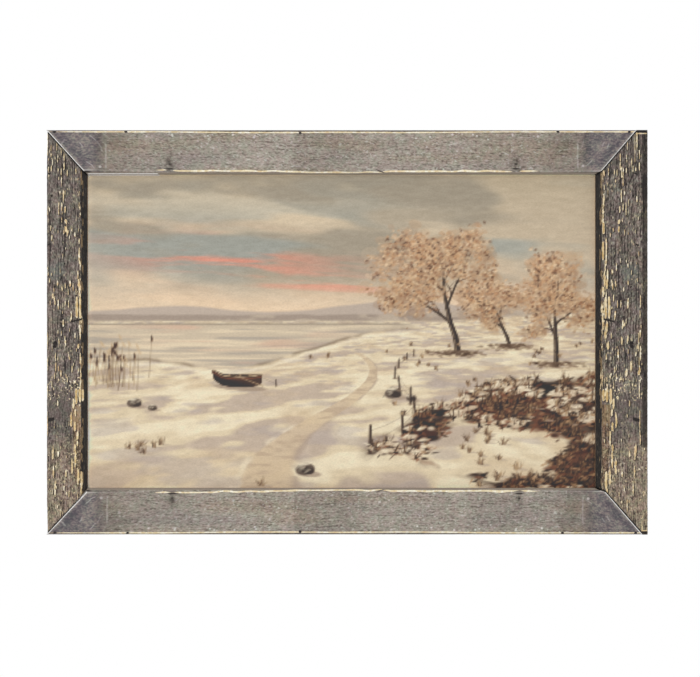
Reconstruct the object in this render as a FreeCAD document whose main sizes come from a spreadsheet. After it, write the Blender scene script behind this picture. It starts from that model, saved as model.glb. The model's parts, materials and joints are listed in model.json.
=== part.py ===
"""A framed wall picture: four mitred boards of reclaimed barn wood round a 24 by 15 inch art print.

Frame of the model, in millimetres: X to the right as the picture is seen, Z up, and the front faces -Y.
The back of the frame lies in the plane Y = 0, and the wall is beyond it, towards +Y.
The origin is the middle notch of the hanger, where the wall nail carries the picture.
"""

import FreeCAD, Part
import math
import os

import Sketcher
from FreeCAD import Placement, Rotation, Vector

DRIVING_SIZES = [
    ("overall_width", 706.0, "outline of the whole frame, from side to side"),
    ("overall_height", 475.0, "outline of the whole frame, from bottom to top"),
    ("notch_drop", 26.0, "top edge of the frame down to the hanger's notch"),
    ("board_thickness", 20.0, "front of a board to its back"),
    ("left_stile_width", 47.8, "outer edge to sight edge"),
    ("right_stile_width", 61.6, "outer edge to sight edge, a wider board than the left one"),
    ("top_rail_width", 52.0, "outer edge to sight edge"),
    ("bottom_rail_width", 54.6, "outer edge to sight edge"),
    ("top_right_shoulder", 13.5, "square end of the right stile that the upper mitre leaves"),
    ("bottom_right_shoulder", 6.5, "square end of the right stile that the lower mitre leaves"),
    ("arris_radius", 1.2, "worn outer edge of a board"),
    ("stile_bevel_width", 7.6, "bevel at the sight edge of a stile, seen from the front"),
    ("stile_bevel_depth", 6.5, "bevel at the sight edge of a stile, from the front backwards"),
    ("rail_bevel_width", 2.4, "bevel at the sight edge of a rail, seen from the front"),
    ("rail_bevel_depth", 2.8, "bevel at the sight edge of a rail, from the front backwards"),
    ("rabbet_width", 6.9, "how far the lip covers the picture"),
    ("panel_clearance", 0.4, "play round the picture in its rabbet, on each side"),
    ("print_thickness", 0.5, "art print on its canvas-textured paper"),
    ("mount_thickness", 2.6, "board that the print is laminated to"),
    ("backing_thickness", 3.2, "hardboard that closes the back"),
    ("backing_setback", 0.3, "back of the hardboard below the back of the frame"),
    ("button_spacing", 380.0, "between the two turn buttons of a rail"),
    ("button_setback", 9.0, "turn button's pivot to the edge of the rabbet"),
    ("button_reach", 19.0, "pivot to the centre of the button's tip"),
    ("button_head_radius", 6.0, "wide end of the button, round its pivot"),
    ("button_tip_radius", 4.0, "narrow end of the button"),
    ("button_thickness", 1.0, "steel of the button"),
    ("button_rib_height", 0.4, "stamped rib along the button's arm"),
    ("button_rib_width", 2.6, "stamped rib along the button's arm"),
    ("button_rib_rounding", 0.9, "corners of the rib"),
    ("button_rib_gap", 0.8, "rim of the screw's head to the start of the rib"),
    ("button_lift", 0.15, "back of the frame to the button's underside"),
    ("pivot_play", 0.08, "button's hole round its screw, on the radius"),
    ("head_play", 0.1, "button's rib side to the screw's head"),
    ("screw_shank_radius", 1.7, "screw in the button and in the wood"),
    ("screw_hole_play", 0.05, "pilot hole round the screw, on the radius"),
    ("screw_depth", 11.0, "screw in the wood, below the back of the frame"),
    ("screw_point", 2.5, "length of the screw's point"),
    ("screw_head_radius", 3.4, "pan head"),
    ("screw_head_height", 1.5, "pan head"),
    ("screw_head_bevel", 0.8, "rim of the pan head"),
    ("recess_arm", 1.8, "cross recess, centre to the end of an arm"),
    ("recess_width", 0.8, "cross recess, across an arm"),
    ("recess_depth", 0.8, "cross recess below the top of the head"),
    ("hanger_length", 66.0, "sawtooth strip, end to end"),
    ("hanger_height", 12.0, "sawtooth strip, tooth tips to its upper edge"),
    ("hanger_thickness", 1.0, "steel of the strip"),
    ("hanger_standoff", 2.2, "gap behind the raised middle, for the nail's head"),
    ("hanger_foot", 8.0, "flat end of the strip that is nailed to the rail"),
    ("hanger_slope", 4.0, "length over which the strip steps out"),
    ("hanger_corner_radius", 2.4, "corners of the strip's ends"),
    ("tooth_pitch", 4.0, "from notch to notch"),
    ("tooth_depth", 2.5, "notch above the tooth tips"),
    ("side_notches", 4, "notches on each side of the middle one"),
    ("hanger_nail_inset", 4.0, "end of the strip to its nail"),
    ("hanger_nail_radius", 0.9, "nail through the strip and in the rail"),
    ("hanger_nail_play", 0.05, "holes round the nail, on the radius"),
    ("hanger_nail_depth", 12.0, "nail in the wood"),
    ("hanger_nail_head_radius", 2.1, "flat nail head"),
    ("hanger_nail_head_height", 0.8, "flat nail head"),
    ("bumper_radius", 6.0, "felt bumper at a lower corner"),
    ("bumper_bevel", 0.6, "pressed rim of the bumper"),
    ("bumper_inset_side", 34.0, "side of the frame to the bumper's centre"),
    ("bumper_inset_base", 16.0, "bottom of the frame to the bumper's centre"),
]


class Size:
    """A length that follows the sheet: its number now, and the expression that keeps it up to date."""

    def __init__(self, number, text):
        self.number = number
        self.text = text

    @staticmethod
    def of(value):
        return value if isinstance(value, Size) else Size(float(value), repr(float(value)))

    def __add__(self, other):
        other = Size.of(other)
        return Size(self.number + other.number, f"({self.text} + {other.text})")

    def __sub__(self, other):
        other = Size.of(other)
        return Size(self.number - other.number, f"({self.text} - {other.text})")

    def __mul__(self, other):
        other = Size.of(other)
        return Size(self.number * other.number, f"({self.text} * {other.text})")

    def __truediv__(self, other):
        other = Size.of(other)
        return Size(self.number / other.number, f"({self.text} / {other.text})")

    def __neg__(self):
        return Size(-self.number, f"(0 - {self.text})")


class Sizes:
    """The driving dimensions, each read by its name: sizes.board_thickness is a Size."""

    def __init__(self, doc):
        sheet = doc.addObject("Spreadsheet::Sheet", "sizes")
        for row, (alias, number, meaning) in enumerate(DRIVING_SIZES, start=1):
            sheet.set(f"A{row}", alias)
            sheet.set(f"B{row}", str(number))
            sheet.set(f"C{row}", meaning)
            sheet.setAlias(f"B{row}", alias)
            setattr(self, alias, Size(number, f"sizes.{alias}"))


doc = FreeCAD.newDocument("framed_picture")
sizes = Sizes(doc)
doc.recompute()
ZERO = Size.of(0)


def bind(thing, prop, size):
    """Ties a property of an object to the sheet."""
    thing.setExpression(prop, Size.of(size).text)


def place(thing, rotation, x, y, z):
    """Turns an object and moves its origin to a point that follows the sheet."""
    x, y, z = Size.of(x), Size.of(y), Size.of(z)
    thing.Placement = Placement(Vector(x.number, y.number, z.number), rotation)
    for axis, size in zip("xyz", (x, y, z)):
        bind(thing, f"Placement.Base.{axis}", size)


def origin_plane(body, role):
    """A body's own origin plane."""
    return next(f for f in body.Origin.OriginFeatures if f.Role == role)


def new_sketch(body, role, name, height=None):
    """An empty sketch on one of the body's origin planes, or at a height above it."""
    sketch = body.newObject("Sketcher::SketchObject", name)
    sketch.AttachmentSupport = [(origin_plane(body, role), "")]
    sketch.MapMode = "FlatFace"
    if height is not None:
        bind(sketch, "AttachmentOffset.Base.z", height)
    return sketch


def measure(sketch, kind, size, *where):
    """Adds a dimension to a sketch and ties it to the sheet."""
    size = Size.of(size)
    index = sketch.addConstraint(Sketcher.Constraint(kind, *where, abs(size.number)))
    bind(sketch, f"Constraints[{index}]", size if size.number > 0 else -size)


def pin_down(sketch, geometry, point, x, y):
    """Fixes a sketch point at (x, y), measured from the sketch's origin."""
    for kind, axis, size in (("DistanceX", -2, Size.of(x)), ("DistanceY", -1, Size.of(y))):
        if size.number == 0:
            sketch.addConstraint(Sketcher.Constraint("PointOnObject", geometry, point, axis))
        elif size.number > 0:
            measure(sketch, kind, size, -1, 1, geometry, point)
        else:
            measure(sketch, kind, size, geometry, point, -1, 1)


def outline(sketch, corners):
    """Draws a closed outline. A corner is (x, y), or (x, y, radius) where two square sides are rounded."""
    corners = [tuple(Size.of(value) for value in corner) for corner in corners]
    stations = []
    for index, corner in enumerate(corners):
        if len(corner) == 2:
            stations.append((corner, None, None))
            continue
        before, after = corners[index - 1], corners[(index + 1) % len(corners)]
        radius = corner[2]
        into, out = unit(before, corner), unit(corner, after)
        start = tuple(corner[i] - radius * into[i] for i in (0, 1))
        end = tuple(corner[i] + radius * out[i] for i in (0, 1))
        centre = tuple(start[i] + radius * out[i] for i in (0, 1))
        stations.append((start, centre, radius))
        stations.append((end, None, None))
    count = len(stations)
    ids = []
    for index, (start, centre, radius) in enumerate(stations):
        end = stations[(index + 1) % count][0]
        a, b = (Vector(p[0].number, p[1].number, 0) for p in (start, end))
        if centre is None:
            ids.append((sketch.addGeometry(Part.LineSegment(a, b)), 1, 2))
            continue
        mid = Vector(centre[0].number, centre[1].number, 0)
        turn = (a - mid).cross(b - mid).z
        first, last = (a, b) if turn > 0 else (b, a)
        circle = Part.Circle(mid, Vector(0, 0, 1), radius.number)
        arc = Part.ArcOfCircle(circle, circle.parameter(first), circle.parameter(last))
        ends = (1, 2) if turn > 0 else (2, 1)
        ids.append((sketch.addGeometry(arc), *ends))
    for index, (start, centre, radius) in enumerate(stations):
        geometry, first, last = ids[index]
        following, following_first, _ = ids[(index + 1) % count]
        joint = Sketcher.Constraint("Coincident", geometry, last, following, following_first)
        sketch.addConstraint(joint)
        pin_down(sketch, geometry, first, start[0], start[1])
        if centre is not None:
            measure(sketch, "Radius", radius, geometry)


def unit(start, end):
    """Direction of a side that runs along one of the sketch's axes, as two whole numbers."""
    return tuple(
        (end[i].number > start[i].number) - (end[i].number < start[i].number) for i in (0, 1)
    )


def circle(sketch, x, y, radius):
    """Draws a circle whose centre and radius follow the sheet."""
    x, y, radius = Size.of(x), Size.of(y), Size.of(radius)
    centre = Vector(x.number, y.number, 0)
    geometry = sketch.addGeometry(Part.Circle(centre, Vector(0, 0, 1), radius.number))
    pin_down(sketch, geometry, 3, x, y)
    measure(sketch, "Radius", radius, geometry)


def pad(body, sketch, name, length, reversed_side=False):
    """Adds material along a sketch's normal, or against it."""
    feature = body.newObject("PartDesign::Pad", name)
    feature.Profile = sketch
    feature.Reversed = reversed_side
    bind(feature, "Length", length)
    return feature


def pocket(body, sketch, name, length, symmetric=False):
    """Cuts into the body, against the sketch's normal or to both of its sides."""
    feature = body.newObject("PartDesign::Pocket", name)
    feature.Profile = sketch
    if symmetric:
        feature.SideType = "Symmetric"
    bind(feature, "Length", length)
    return feature


def new_body(label):
    """A body whose label names the piece."""
    body = doc.addObject("PartDesign::Body", label)
    body.Label = label
    return body


# The boards. Each is drawn in its own frame: X along the board, Y from its back to its front, and Z from
# its outer edge to the sight edge. A moulding is run the length of the board and then mitred, as it is sawn.

BOARD_TURN = {
    "top_rail": Rotation(Vector(1, 0, 0), 180),
    "bottom_rail": Rotation(Vector(0, 0, 1), 180),
    "left_stile": Rotation(Vector(1, 0, 1), 180),
    "right_stile": Rotation(Vector(1, 0, -1), 180),
}


def moulding(body, length, width, bevel_width, bevel_depth):
    """Runs the section of a board along its length: worn outer arris, bevelled lip, rabbet behind it."""
    depth = sizes.board_thickness
    inner_wall = width - sizes.rabbet_width
    section = new_sketch(body, "YZ_Plane", f"{body.Name}_section")
    outline(
        section,
        [
            (0, 0),
            (depth, 0, sizes.arris_radius),
            (depth, width - bevel_width),
            (depth - bevel_depth, width),
            (rabbet_depth, width),
            (rabbet_depth, inner_wall),
            (0, inner_wall),
        ],
    )
    pad(body, section, f"{body.Name}_moulding", length)


def saw(body, name, corners):
    """Saws a corner off a board, square through its thickness."""
    cut = new_sketch(body, "XZ_Plane", f"{body.Name}_{name}_line")
    outline(cut, corners)
    pocket(body, cut, f"{body.Name}_{name}", sizes.board_thickness * 3, symmetric=True)


def bore(body, name, places, radius, depth):
    """Drills round holes into the back of a board."""
    holes = new_sketch(body, "XZ_Plane", f"{body.Name}_{name}_centres")
    for x, z in places:
        circle(holes, x, z, radius)
    pocket(body, holes, f"{body.Name}_{name}", depth)


def rail(label, width, corner_x, corner_z, square_ends):
    """A rail: mitred from the sight corners to its outer edge, short of the right stile's shoulder.

    square_ends holds, for its start and its end, the stile's width and the stile's shoulder there.
    """
    body = new_body(label)
    length = sizes.overall_width
    moulding(body, length, width, sizes.rail_bevel_width, sizes.rail_bevel_depth)
    (start_stile, start_shoulder), (end_stile, end_shoulder) = square_ends
    start = [(0, width), (start_stile, width)]
    start += [(0, 0)] if start_shoulder is None else [(start_shoulder, 0), (0, 0)]
    end = [(length, width), (length - end_stile, width)]
    end += [(length, 0)] if end_shoulder is None else [(length - end_shoulder, 0), (length, 0)]
    saw(body, "start_mitre", start)
    saw(body, "end_mitre", end)
    place(body, BOARD_TURN[label], corner_x, 0, corner_z)
    return body


def stile(label, width, corner_x, corner_z, start, end):
    """A stile: mitred at both ends, from its shoulder or its outer corner to the sight corner.

    start and end each hold the width of the rail there and the shoulder left on the stile.
    """
    body = new_body(label)
    length = sizes.overall_height
    moulding(body, length, width, sizes.stile_bevel_width, sizes.stile_bevel_depth)
    saw(body, "start_mitre", [(0, width), (start[0], width), (0, start[1])])
    saw(body, "end_mitre", [(length, width), (length - end[0], width), (length, end[1])])
    place(body, BOARD_TURN[label], corner_x, 0, corner_z)
    return body


rabbet_depth = (
    sizes.print_thickness
    + sizes.mount_thickness
    + sizes.backing_thickness
    + sizes.backing_setback
)
half_width = sizes.overall_width / 2
top = sizes.notch_drop
bottom = sizes.notch_drop - sizes.overall_height
no_shoulder = None

top_rail = rail(
    "top_rail",
    sizes.top_rail_width,
    -half_width,
    top,
    [(sizes.left_stile_width, no_shoulder), (sizes.right_stile_width, sizes.top_right_shoulder)],
)
bottom_rail = rail(
    "bottom_rail",
    sizes.bottom_rail_width,
    half_width,
    bottom,
    [(sizes.right_stile_width, sizes.bottom_right_shoulder), (sizes.left_stile_width, no_shoulder)],
)
left_stile = stile(
    "left_stile",
    sizes.left_stile_width,
    -half_width,
    bottom,
    (sizes.bottom_rail_width, 0),
    (sizes.top_rail_width, 0),
)
right_stile = stile(
    "right_stile",
    sizes.right_stile_width,
    half_width,
    top,
    (sizes.top_rail_width, sizes.top_right_shoulder),
    (sizes.bottom_rail_width, sizes.bottom_right_shoulder),
)


# The picture and its boards lie one behind the other in the rabbet, on the lower board's rabbet wall.


def sheet_of(label, thickness, front):
    """One flat sheet in the rabbet, its front at a given depth."""
    cover = sizes.rabbet_width - sizes.panel_clearance
    side_boards = sizes.left_stile_width + sizes.right_stile_width
    rails = sizes.top_rail_width + sizes.bottom_rail_width
    board = doc.addObject("Part::Box", label)
    board.Label = label
    bind(board, "Length", sizes.overall_width - side_boards + cover * 2)
    bind(board, "Width", thickness)
    bind(board, "Height", sizes.overall_height - rails + cover * 2)
    left = sizes.left_stile_width - cover - half_width
    low = bottom + sizes.bottom_rail_width - sizes.rabbet_width
    place(board, Rotation(), left, front, low)
    return board


print_front = -rabbet_depth
mount_front = print_front + sizes.print_thickness
backing_front = mount_front + sizes.mount_thickness
pieces = [top_rail, bottom_rail, left_stile, right_stile]
pieces.append(sheet_of("art_print", sizes.print_thickness, print_front))
pieces.append(sheet_of("mounting_board", sizes.mount_thickness, mount_front))
pieces.append(sheet_of("backing_board", sizes.backing_thickness, backing_front))


# The turn buttons and their screws, on the back of each board. Both are drawn standing up, along their
# own Z, with Z = 0 at the back of the frame, and are then turned to point at the wall.

TO_WALL = Rotation(Vector(1, 0, 0), -90)
button_top = sizes.button_lift + sizes.button_thickness
head_underside = button_top + sizes.button_rib_height + sizes.head_play


def turn_button(label, arm_turn, x, z):
    """A flat steel button that turns on its screw, its arm turned by arm_turn degrees from straight down."""
    body = new_body(label)
    blank = new_sketch(body, "XY_Plane", f"{label}_blank", sizes.button_lift)
    pear(blank, sizes.button_head_radius, sizes.button_tip_radius, sizes.button_reach)
    circle(blank, 0, 0, sizes.screw_shank_radius + sizes.pivot_play)
    pad(body, blank, f"{label}_plate", sizes.button_thickness)
    rib = new_sketch(body, "XY_Plane", f"{label}_rib_outline", button_top)
    half = sizes.button_rib_width / 2
    near = sizes.screw_head_radius + sizes.button_rib_gap
    far = sizes.button_reach
    rounding = sizes.button_rib_rounding
    outline(
        rib,
        [
            (-half, near, rounding),
            (half, near, rounding),
            (half, far, rounding),
            (-half, far, rounding),
        ],
    )
    pad(body, rib, f"{label}_rib", sizes.button_rib_height)
    rotation = Rotation(Vector(0, 1, 0), arm_turn).multiply(TO_WALL)
    place(body, rotation, x, 0, z)
    return body


def pear(sketch, wide, narrow, reach):
    """Draws two round ends of different radii, joined by their common tangents, along the sketch's Y."""
    lean = math.asin((wide.number - narrow.number) / reach.number)
    across, along = math.cos(lean), math.sin(lean)
    ends = []
    for radius, height, first, last in (
        (wide, ZERO, math.pi - lean, 2 * math.pi + lean),
        (narrow, reach, lean, math.pi - lean),
    ):
        centre = Vector(0, height.number, 0)
        whole = Part.Circle(centre, Vector(0, 0, 1), radius.number)
        ends.append(sketch.addGeometry(Part.ArcOfCircle(whole, first, last)))
        pin_down(sketch, ends[-1], 3, 0, height)
        measure(sketch, "Radius", radius, ends[-1])
    head, tip = ends
    for side, head_end, tip_end in ((1, 2, 1), (-1, 1, 2)):
        a = Vector(side * wide.number * across, wide.number * along, 0)
        b = Vector(side * narrow.number * across, reach.number + narrow.number * along, 0)
        flank = sketch.addGeometry(Part.LineSegment(a, b))
        sketch.addConstraint(Sketcher.Constraint("Tangent", flank, 1, head, head_end))
        sketch.addConstraint(Sketcher.Constraint("Tangent", flank, 2, tip, tip_end))


def turned(body, name, corners):
    """Turns a half section about the body's Z axis."""
    section = new_sketch(body, "XZ_Plane", f"{name}_section")
    outline(section, corners)
    feature = body.newObject("PartDesign::Revolution", name)
    feature.Profile = section
    feature.ReferenceAxis = (section, ["V_Axis"])
    feature.Angle = 360
    return feature


def turn_screw(label, x, z):
    """A pan head screw, with a cross recess, that carries a turn button."""
    body = new_body(label)
    shank, head = sizes.screw_shank_radius, sizes.screw_head_radius
    crown = head_underside + sizes.screw_head_height
    turned(
        body,
        f"{label}_turned",
        [
            (0, -sizes.screw_depth),
            (shank, sizes.screw_point - sizes.screw_depth),
            (shank, head_underside),
            (head, head_underside),
            (head, crown - sizes.screw_head_bevel),
            (head - sizes.screw_head_bevel, crown),
            (0, crown),
        ],
    )
    recess = new_sketch(body, "XY_Plane", f"{label}_recess_outline", crown)
    arm, half = sizes.recess_arm, sizes.recess_width / 2
    quarter = [(arm, -half), (arm, half), (half, half)]
    cross = []
    for _ in range(4):
        cross += quarter
        quarter = [(-y, x) for x, y in quarter]
    outline(recess, cross)
    pocket(body, recess, f"{label}_recess", sizes.recess_depth)
    place(body, TO_WALL, x, 0, z)
    return body


def inward(width):
    """How far in from the outer edge of a board its turn buttons pivot."""
    return width - sizes.rabbet_width - sizes.button_setback


half_spacing = sizes.button_spacing / 2
middle = (top + bottom) / 2
BUTTONS = [
    ("1", 0, -half_spacing, top - inward(sizes.top_rail_width)),
    ("2", 0, half_spacing, top - inward(sizes.top_rail_width)),
    ("3", 90, half_width - inward(sizes.right_stile_width), middle),
    ("4", 180, half_spacing, bottom + inward(sizes.bottom_rail_width)),
    ("5", 180, -half_spacing, bottom + inward(sizes.bottom_rail_width)),
    ("6", -90, inward(sizes.left_stile_width) - half_width, middle),
]
for number, arm_turn, x, z in BUTTONS:
    pieces.append(turn_button(f"turn_button_{number}", arm_turn, x, z))
    pieces.append(turn_screw(f"turn_screw_{number}", x, z))

rail_middle = sizes.overall_width / 2
pilot = sizes.screw_shank_radius + sizes.screw_hole_play
for board, width in ((top_rail, sizes.top_rail_width), (bottom_rail, sizes.bottom_rail_width)):
    along = (rail_middle - half_spacing, rail_middle + half_spacing)
    bore(board, "pilots", [(x, inward(width)) for x in along], pilot, sizes.screw_depth)
for board, width in ((left_stile, sizes.left_stile_width), (right_stile, sizes.right_stile_width)):
    centre = (sizes.overall_height / 2, inward(width))
    bore(board, "pilot", [centre], pilot, sizes.screw_depth)


# The sawtooth hanger, nailed to the top rail, with the notch over the origin as the middle one.


def sawtooth_hanger():
    """A steel strip that steps out from the rail, with teeth along the lower edge of its raised middle."""
    body = new_body("sawtooth_hanger")
    half = sizes.hanger_length / 2
    foot = half - sizes.hanger_foot
    raised = foot - sizes.hanger_slope
    near, far = sizes.hanger_standoff, sizes.hanger_standoff + sizes.hanger_thickness
    plate = sizes.hanger_thickness
    section = new_sketch(body, "XY_Plane", "hanger_section", -sizes.tooth_depth)
    outline(
        section,
        [
            (-half, 0),
            (-foot, 0),
            (-raised, near),
            (raised, near),
            (foot, 0),
            (half, 0),
            (half, plate),
            (foot, plate),
            (raised, far),
            (-raised, far),
            (-foot, plate),
            (-half, plate),
        ],
    )
    pad(body, section, "hanger_strip", sizes.hanger_height)
    tooth = new_sketch(body, "XZ_Plane", "notch_outline")
    half_pitch = sizes.tooth_pitch / 2
    outline(tooth, [(0, 0), (half_pitch, -sizes.tooth_depth), (-half_pitch, -sizes.tooth_depth)])
    notch = pocket(body, tooth, "middle_notch", far * 3, symmetric=True)
    row = body.newObject("PartDesign::MultiTransform", "notches")
    row.Originals = [notch]
    steps = []
    for name, backwards in (("notches_right", False), ("notches_left", True)):
        step = body.newObject("PartDesign::LinearPattern", name)
        step.Direction = (tooth, ["H_Axis"])
        step.Reversed = backwards
        bind(step, "Occurrences", sizes.side_notches + 1)
        bind(step, "Length", sizes.tooth_pitch * sizes.side_notches)
        steps.append(step)
    row.Transformations = steps
    body.Tip = row
    holes = new_sketch(body, "XZ_Plane", "hanger_nail_holes_centres")
    for side in (-1, 1):
        circle(holes, nail_x * side, nail_z, sizes.hanger_nail_radius + sizes.hanger_nail_play)
    bored = pocket(body, holes, "hanger_nail_holes", far * 3, symmetric=True)
    doc.recompute()
    rounded = body.newObject("PartDesign::Fillet", "rounded_ends")
    rounded.Base = (bored, corner_edges(bored.Shape, half.number))
    bind(rounded, "Radius", sizes.hanger_corner_radius)
    return body


def corner_edges(shape, half_length):
    """Names of the short edges at the four corners of the strip's ends, which run through its thickness."""
    names = []
    for index, edge in enumerate(shape.Edges, start=1):
        box = edge.BoundBox
        at_end = abs(abs(edge.CenterOfMass.x) - half_length) < 0.01
        if at_end and box.YLength > box.XLength + box.ZLength:
            names.append(f"Edge{index}")
    return names


def hanger_nail(label, x):
    """A flat-headed nail through one foot of the hanger."""
    body = new_body(label)
    shank, head = sizes.hanger_nail_radius, sizes.hanger_nail_head_radius
    under = sizes.hanger_thickness
    turned(
        body,
        f"{label}_turned",
        [
            (0, -sizes.hanger_nail_depth),
            (shank, sizes.hanger_nail_radius * 2 - sizes.hanger_nail_depth),
            (shank, under),
            (head, under),
            (head, under + sizes.hanger_nail_head_height),
            (0, under + sizes.hanger_nail_head_height),
        ],
    )
    place(body, TO_WALL, x, 0, nail_z)
    return body


nail_x = sizes.hanger_length / 2 - sizes.hanger_nail_inset
nail_z = sizes.hanger_height / 2 - sizes.tooth_depth
pieces.append(sawtooth_hanger())
pieces.append(hanger_nail("hanger_nail_left", -nail_x))
pieces.append(hanger_nail("hanger_nail_right", nail_x))
nail_hole = sizes.hanger_nail_radius + sizes.hanger_nail_play
nail_places = [(rail_middle - nail_x, top - nail_z), (rail_middle + nail_x, top - nail_z)]
bore(top_rail, "nail_holes", nail_places, nail_hole, sizes.hanger_nail_depth)


# The felt bumpers stand off the wall as far as the hanger does, so that the picture hangs parallel to it.


def wall_bumper(label, x):
    """A round felt pad near a lower corner."""
    body = new_body(label)
    radius, bevel = sizes.bumper_radius, sizes.bumper_bevel
    height = sizes.hanger_standoff + sizes.hanger_thickness
    turned(
        body,
        f"{label}_turned",
        [(0, 0), (radius, 0), (radius, height - bevel), (radius - bevel, height), (0, height)],
    )
    place(body, TO_WALL, x, 0, bottom + sizes.bumper_inset_base)
    return body


bumper_x = half_width - sizes.bumper_inset_side
pieces.append(wall_bumper("wall_bumper_left", -bumper_x))
pieces.append(wall_bumper("wall_bumper_right", bumper_x))


def check_and_export():
    """Stops on any failed object or bad solid, and then writes one file for each piece."""
    doc.recompute()
    for thing in doc.Objects:
        failed = {"Invalid", "Error"} & set(thing.State)
        if failed:
            raise RuntimeError(f"{thing.Name} is {failed}")
    os.makedirs("parts", exist_ok=True)
    for piece in pieces:
        shape = piece.Shape
        if shape.isNull() or not shape.isValid() or not shape.Solids:
            raise RuntimeError(f"{piece.Label} is not a valid solid")
        box = shape.BoundBox
        print(
            f"{piece.Label:20s} {shape.Volume / 1000:9.3f} cm3, {len(shape.Solids)} solid(s), "
            f"X {box.XMin:8.2f} {box.XMax:8.2f}  Y {box.YMin:7.2f} {box.YMax:6.2f}  "
            f"Z {box.ZMin:8.2f} {box.ZMax:8.2f}"
        )
        shape.exportStep(f"parts/{piece.Label}.step")


check_and_export()
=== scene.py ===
"""Looks of a framed wall picture: four mitred boards of weathered barn wood round a landscape print.

The rails are pale and silvered, and the stiles are dark, with flakes of old cream paint. Each board is
modelled as a run section, and its grain, cracks, flakes and worn edges are cut into the mesh. The same
fields go on as attributes, so that the colour lies exactly on the relief.
"""

from __future__ import annotations

import json
import logging
import math
from collections.abc import Iterator
from contextlib import contextmanager
from dataclasses import dataclass
from enum import Enum

import bpy
import numpy as np
from bpy.types import Material, Mesh, Node, NodeSocket, Object
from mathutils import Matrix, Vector

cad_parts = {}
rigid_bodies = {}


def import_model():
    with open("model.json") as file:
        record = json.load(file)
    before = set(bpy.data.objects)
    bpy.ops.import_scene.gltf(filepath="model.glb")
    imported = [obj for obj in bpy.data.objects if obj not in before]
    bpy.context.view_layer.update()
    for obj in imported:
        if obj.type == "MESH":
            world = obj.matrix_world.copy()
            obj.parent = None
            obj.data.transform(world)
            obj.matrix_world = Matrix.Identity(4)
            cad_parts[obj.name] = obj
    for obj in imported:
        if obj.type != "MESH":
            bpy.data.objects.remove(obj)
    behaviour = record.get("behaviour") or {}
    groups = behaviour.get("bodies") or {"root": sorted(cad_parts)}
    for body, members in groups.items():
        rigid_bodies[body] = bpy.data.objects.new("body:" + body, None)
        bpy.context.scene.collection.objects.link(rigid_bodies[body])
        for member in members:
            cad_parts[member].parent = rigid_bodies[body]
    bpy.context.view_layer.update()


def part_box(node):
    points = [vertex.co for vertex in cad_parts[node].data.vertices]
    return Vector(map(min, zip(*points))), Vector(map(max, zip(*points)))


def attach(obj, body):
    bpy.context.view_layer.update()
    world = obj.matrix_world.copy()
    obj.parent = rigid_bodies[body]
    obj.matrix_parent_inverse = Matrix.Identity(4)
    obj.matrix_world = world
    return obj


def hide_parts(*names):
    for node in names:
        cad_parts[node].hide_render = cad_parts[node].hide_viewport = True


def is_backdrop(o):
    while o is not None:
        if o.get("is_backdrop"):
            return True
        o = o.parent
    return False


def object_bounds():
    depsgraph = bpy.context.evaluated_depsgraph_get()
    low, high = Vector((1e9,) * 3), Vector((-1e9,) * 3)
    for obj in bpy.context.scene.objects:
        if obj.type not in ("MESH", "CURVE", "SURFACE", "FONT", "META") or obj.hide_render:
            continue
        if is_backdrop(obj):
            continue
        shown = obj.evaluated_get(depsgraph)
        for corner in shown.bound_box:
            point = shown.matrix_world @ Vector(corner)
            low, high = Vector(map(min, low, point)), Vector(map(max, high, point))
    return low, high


LOG = logging.getLogger("framed_picture")
MM = 0.001
FRAME_BODY = "frame"

# A number for each vertex or point, two numbers, and a colour as seen on a screen, from 0 to 255.
Field = np.ndarray
Pair = tuple[float, float]
Colour = tuple[float, float, float]


def linear(screen: Field) -> Field:
    """Turns levels as seen on a screen, 0 to 1, into linear ones."""
    return np.where(screen <= 0.04045, screen / 12.92, ((screen + 0.055) / 1.055) ** 2.4)


def srgb(red: float, green: float, blue: float) -> tuple[float, float, float, float]:
    """Turns a colour as seen on a screen, 0 to 255, into a shader's linear one."""
    return (*linear(np.array((red, green, blue)) / 255).tolist(), 1.0)


def smooth(low: float, high: float, value: Field) -> Field:
    """Rises softly from 0 at low to 1 at high."""
    share = np.clip((value - low) / (high - low), 0, 1)
    return share * share * (3 - 2 * share)


def blend(first: Field, second: Field, share: Field) -> Field:
    """Goes from first to second as share goes from 0 to 1."""
    return first + (second - first) * share


def hump(off: Field, width: float, other: Field = 0.0, other_width: float = 1.0) -> Field:
    """1 where off, and the other distance if given, is 0, and less over its width on both sides."""
    return np.exp(-((off / width) ** 2) - (other / other_width) ** 2)


def place_of(mesh: Mesh) -> Field:
    """Coordinates of each vertex.

    Args:
        mesh: the mesh to read.

    Returns:
        One row of three for each vertex.
    """
    places = np.zeros(len(mesh.vertices) * 3)
    mesh.vertices.foreach_get("co", places)
    return places.reshape(-1, 3)


def deselect(mesh: Mesh) -> None:
    """Deselects the vertices, edges and faces."""
    for parts in (mesh.vertices, mesh.edges, mesh.polygons):
        parts.foreach_set("select", np.zeros(len(parts), bool))


def new_outline(name: str, count: int, filled: bool) -> Object:
    """Adds a closed outline at the origin, as the start of a piece.

    Args:
        name: the piece's name.
        count: number of its vertices.
        filled: gives it a face.

    Returns:
        The piece, whose vertices wait to be placed.
    """
    fill = "NGON" if filled else "NOTHING"
    bpy.ops.object.select_all(action="DESELECT")
    bpy.ops.mesh.primitive_circle_add(vertices=count, radius=MM, fill_type=fill, location=(0, 0, 0))
    return named(name)


def named(name: str) -> Object:
    """Names the primitive that was just added.

    Args:
        name: its name.

    Returns:
        The primitive.
    """
    piece = bpy.context.object
    piece.name = piece.data.name = name
    return piece


@contextmanager
def edit_mode() -> Iterator[None]:
    """Edits the mesh of the piece that was added last, and leaves nothing selected in it."""
    bpy.ops.object.mode_set(mode="EDIT")
    yield
    bpy.ops.mesh.select_all(action="DESELECT")
    bpy.ops.object.mode_set(mode="OBJECT")


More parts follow.
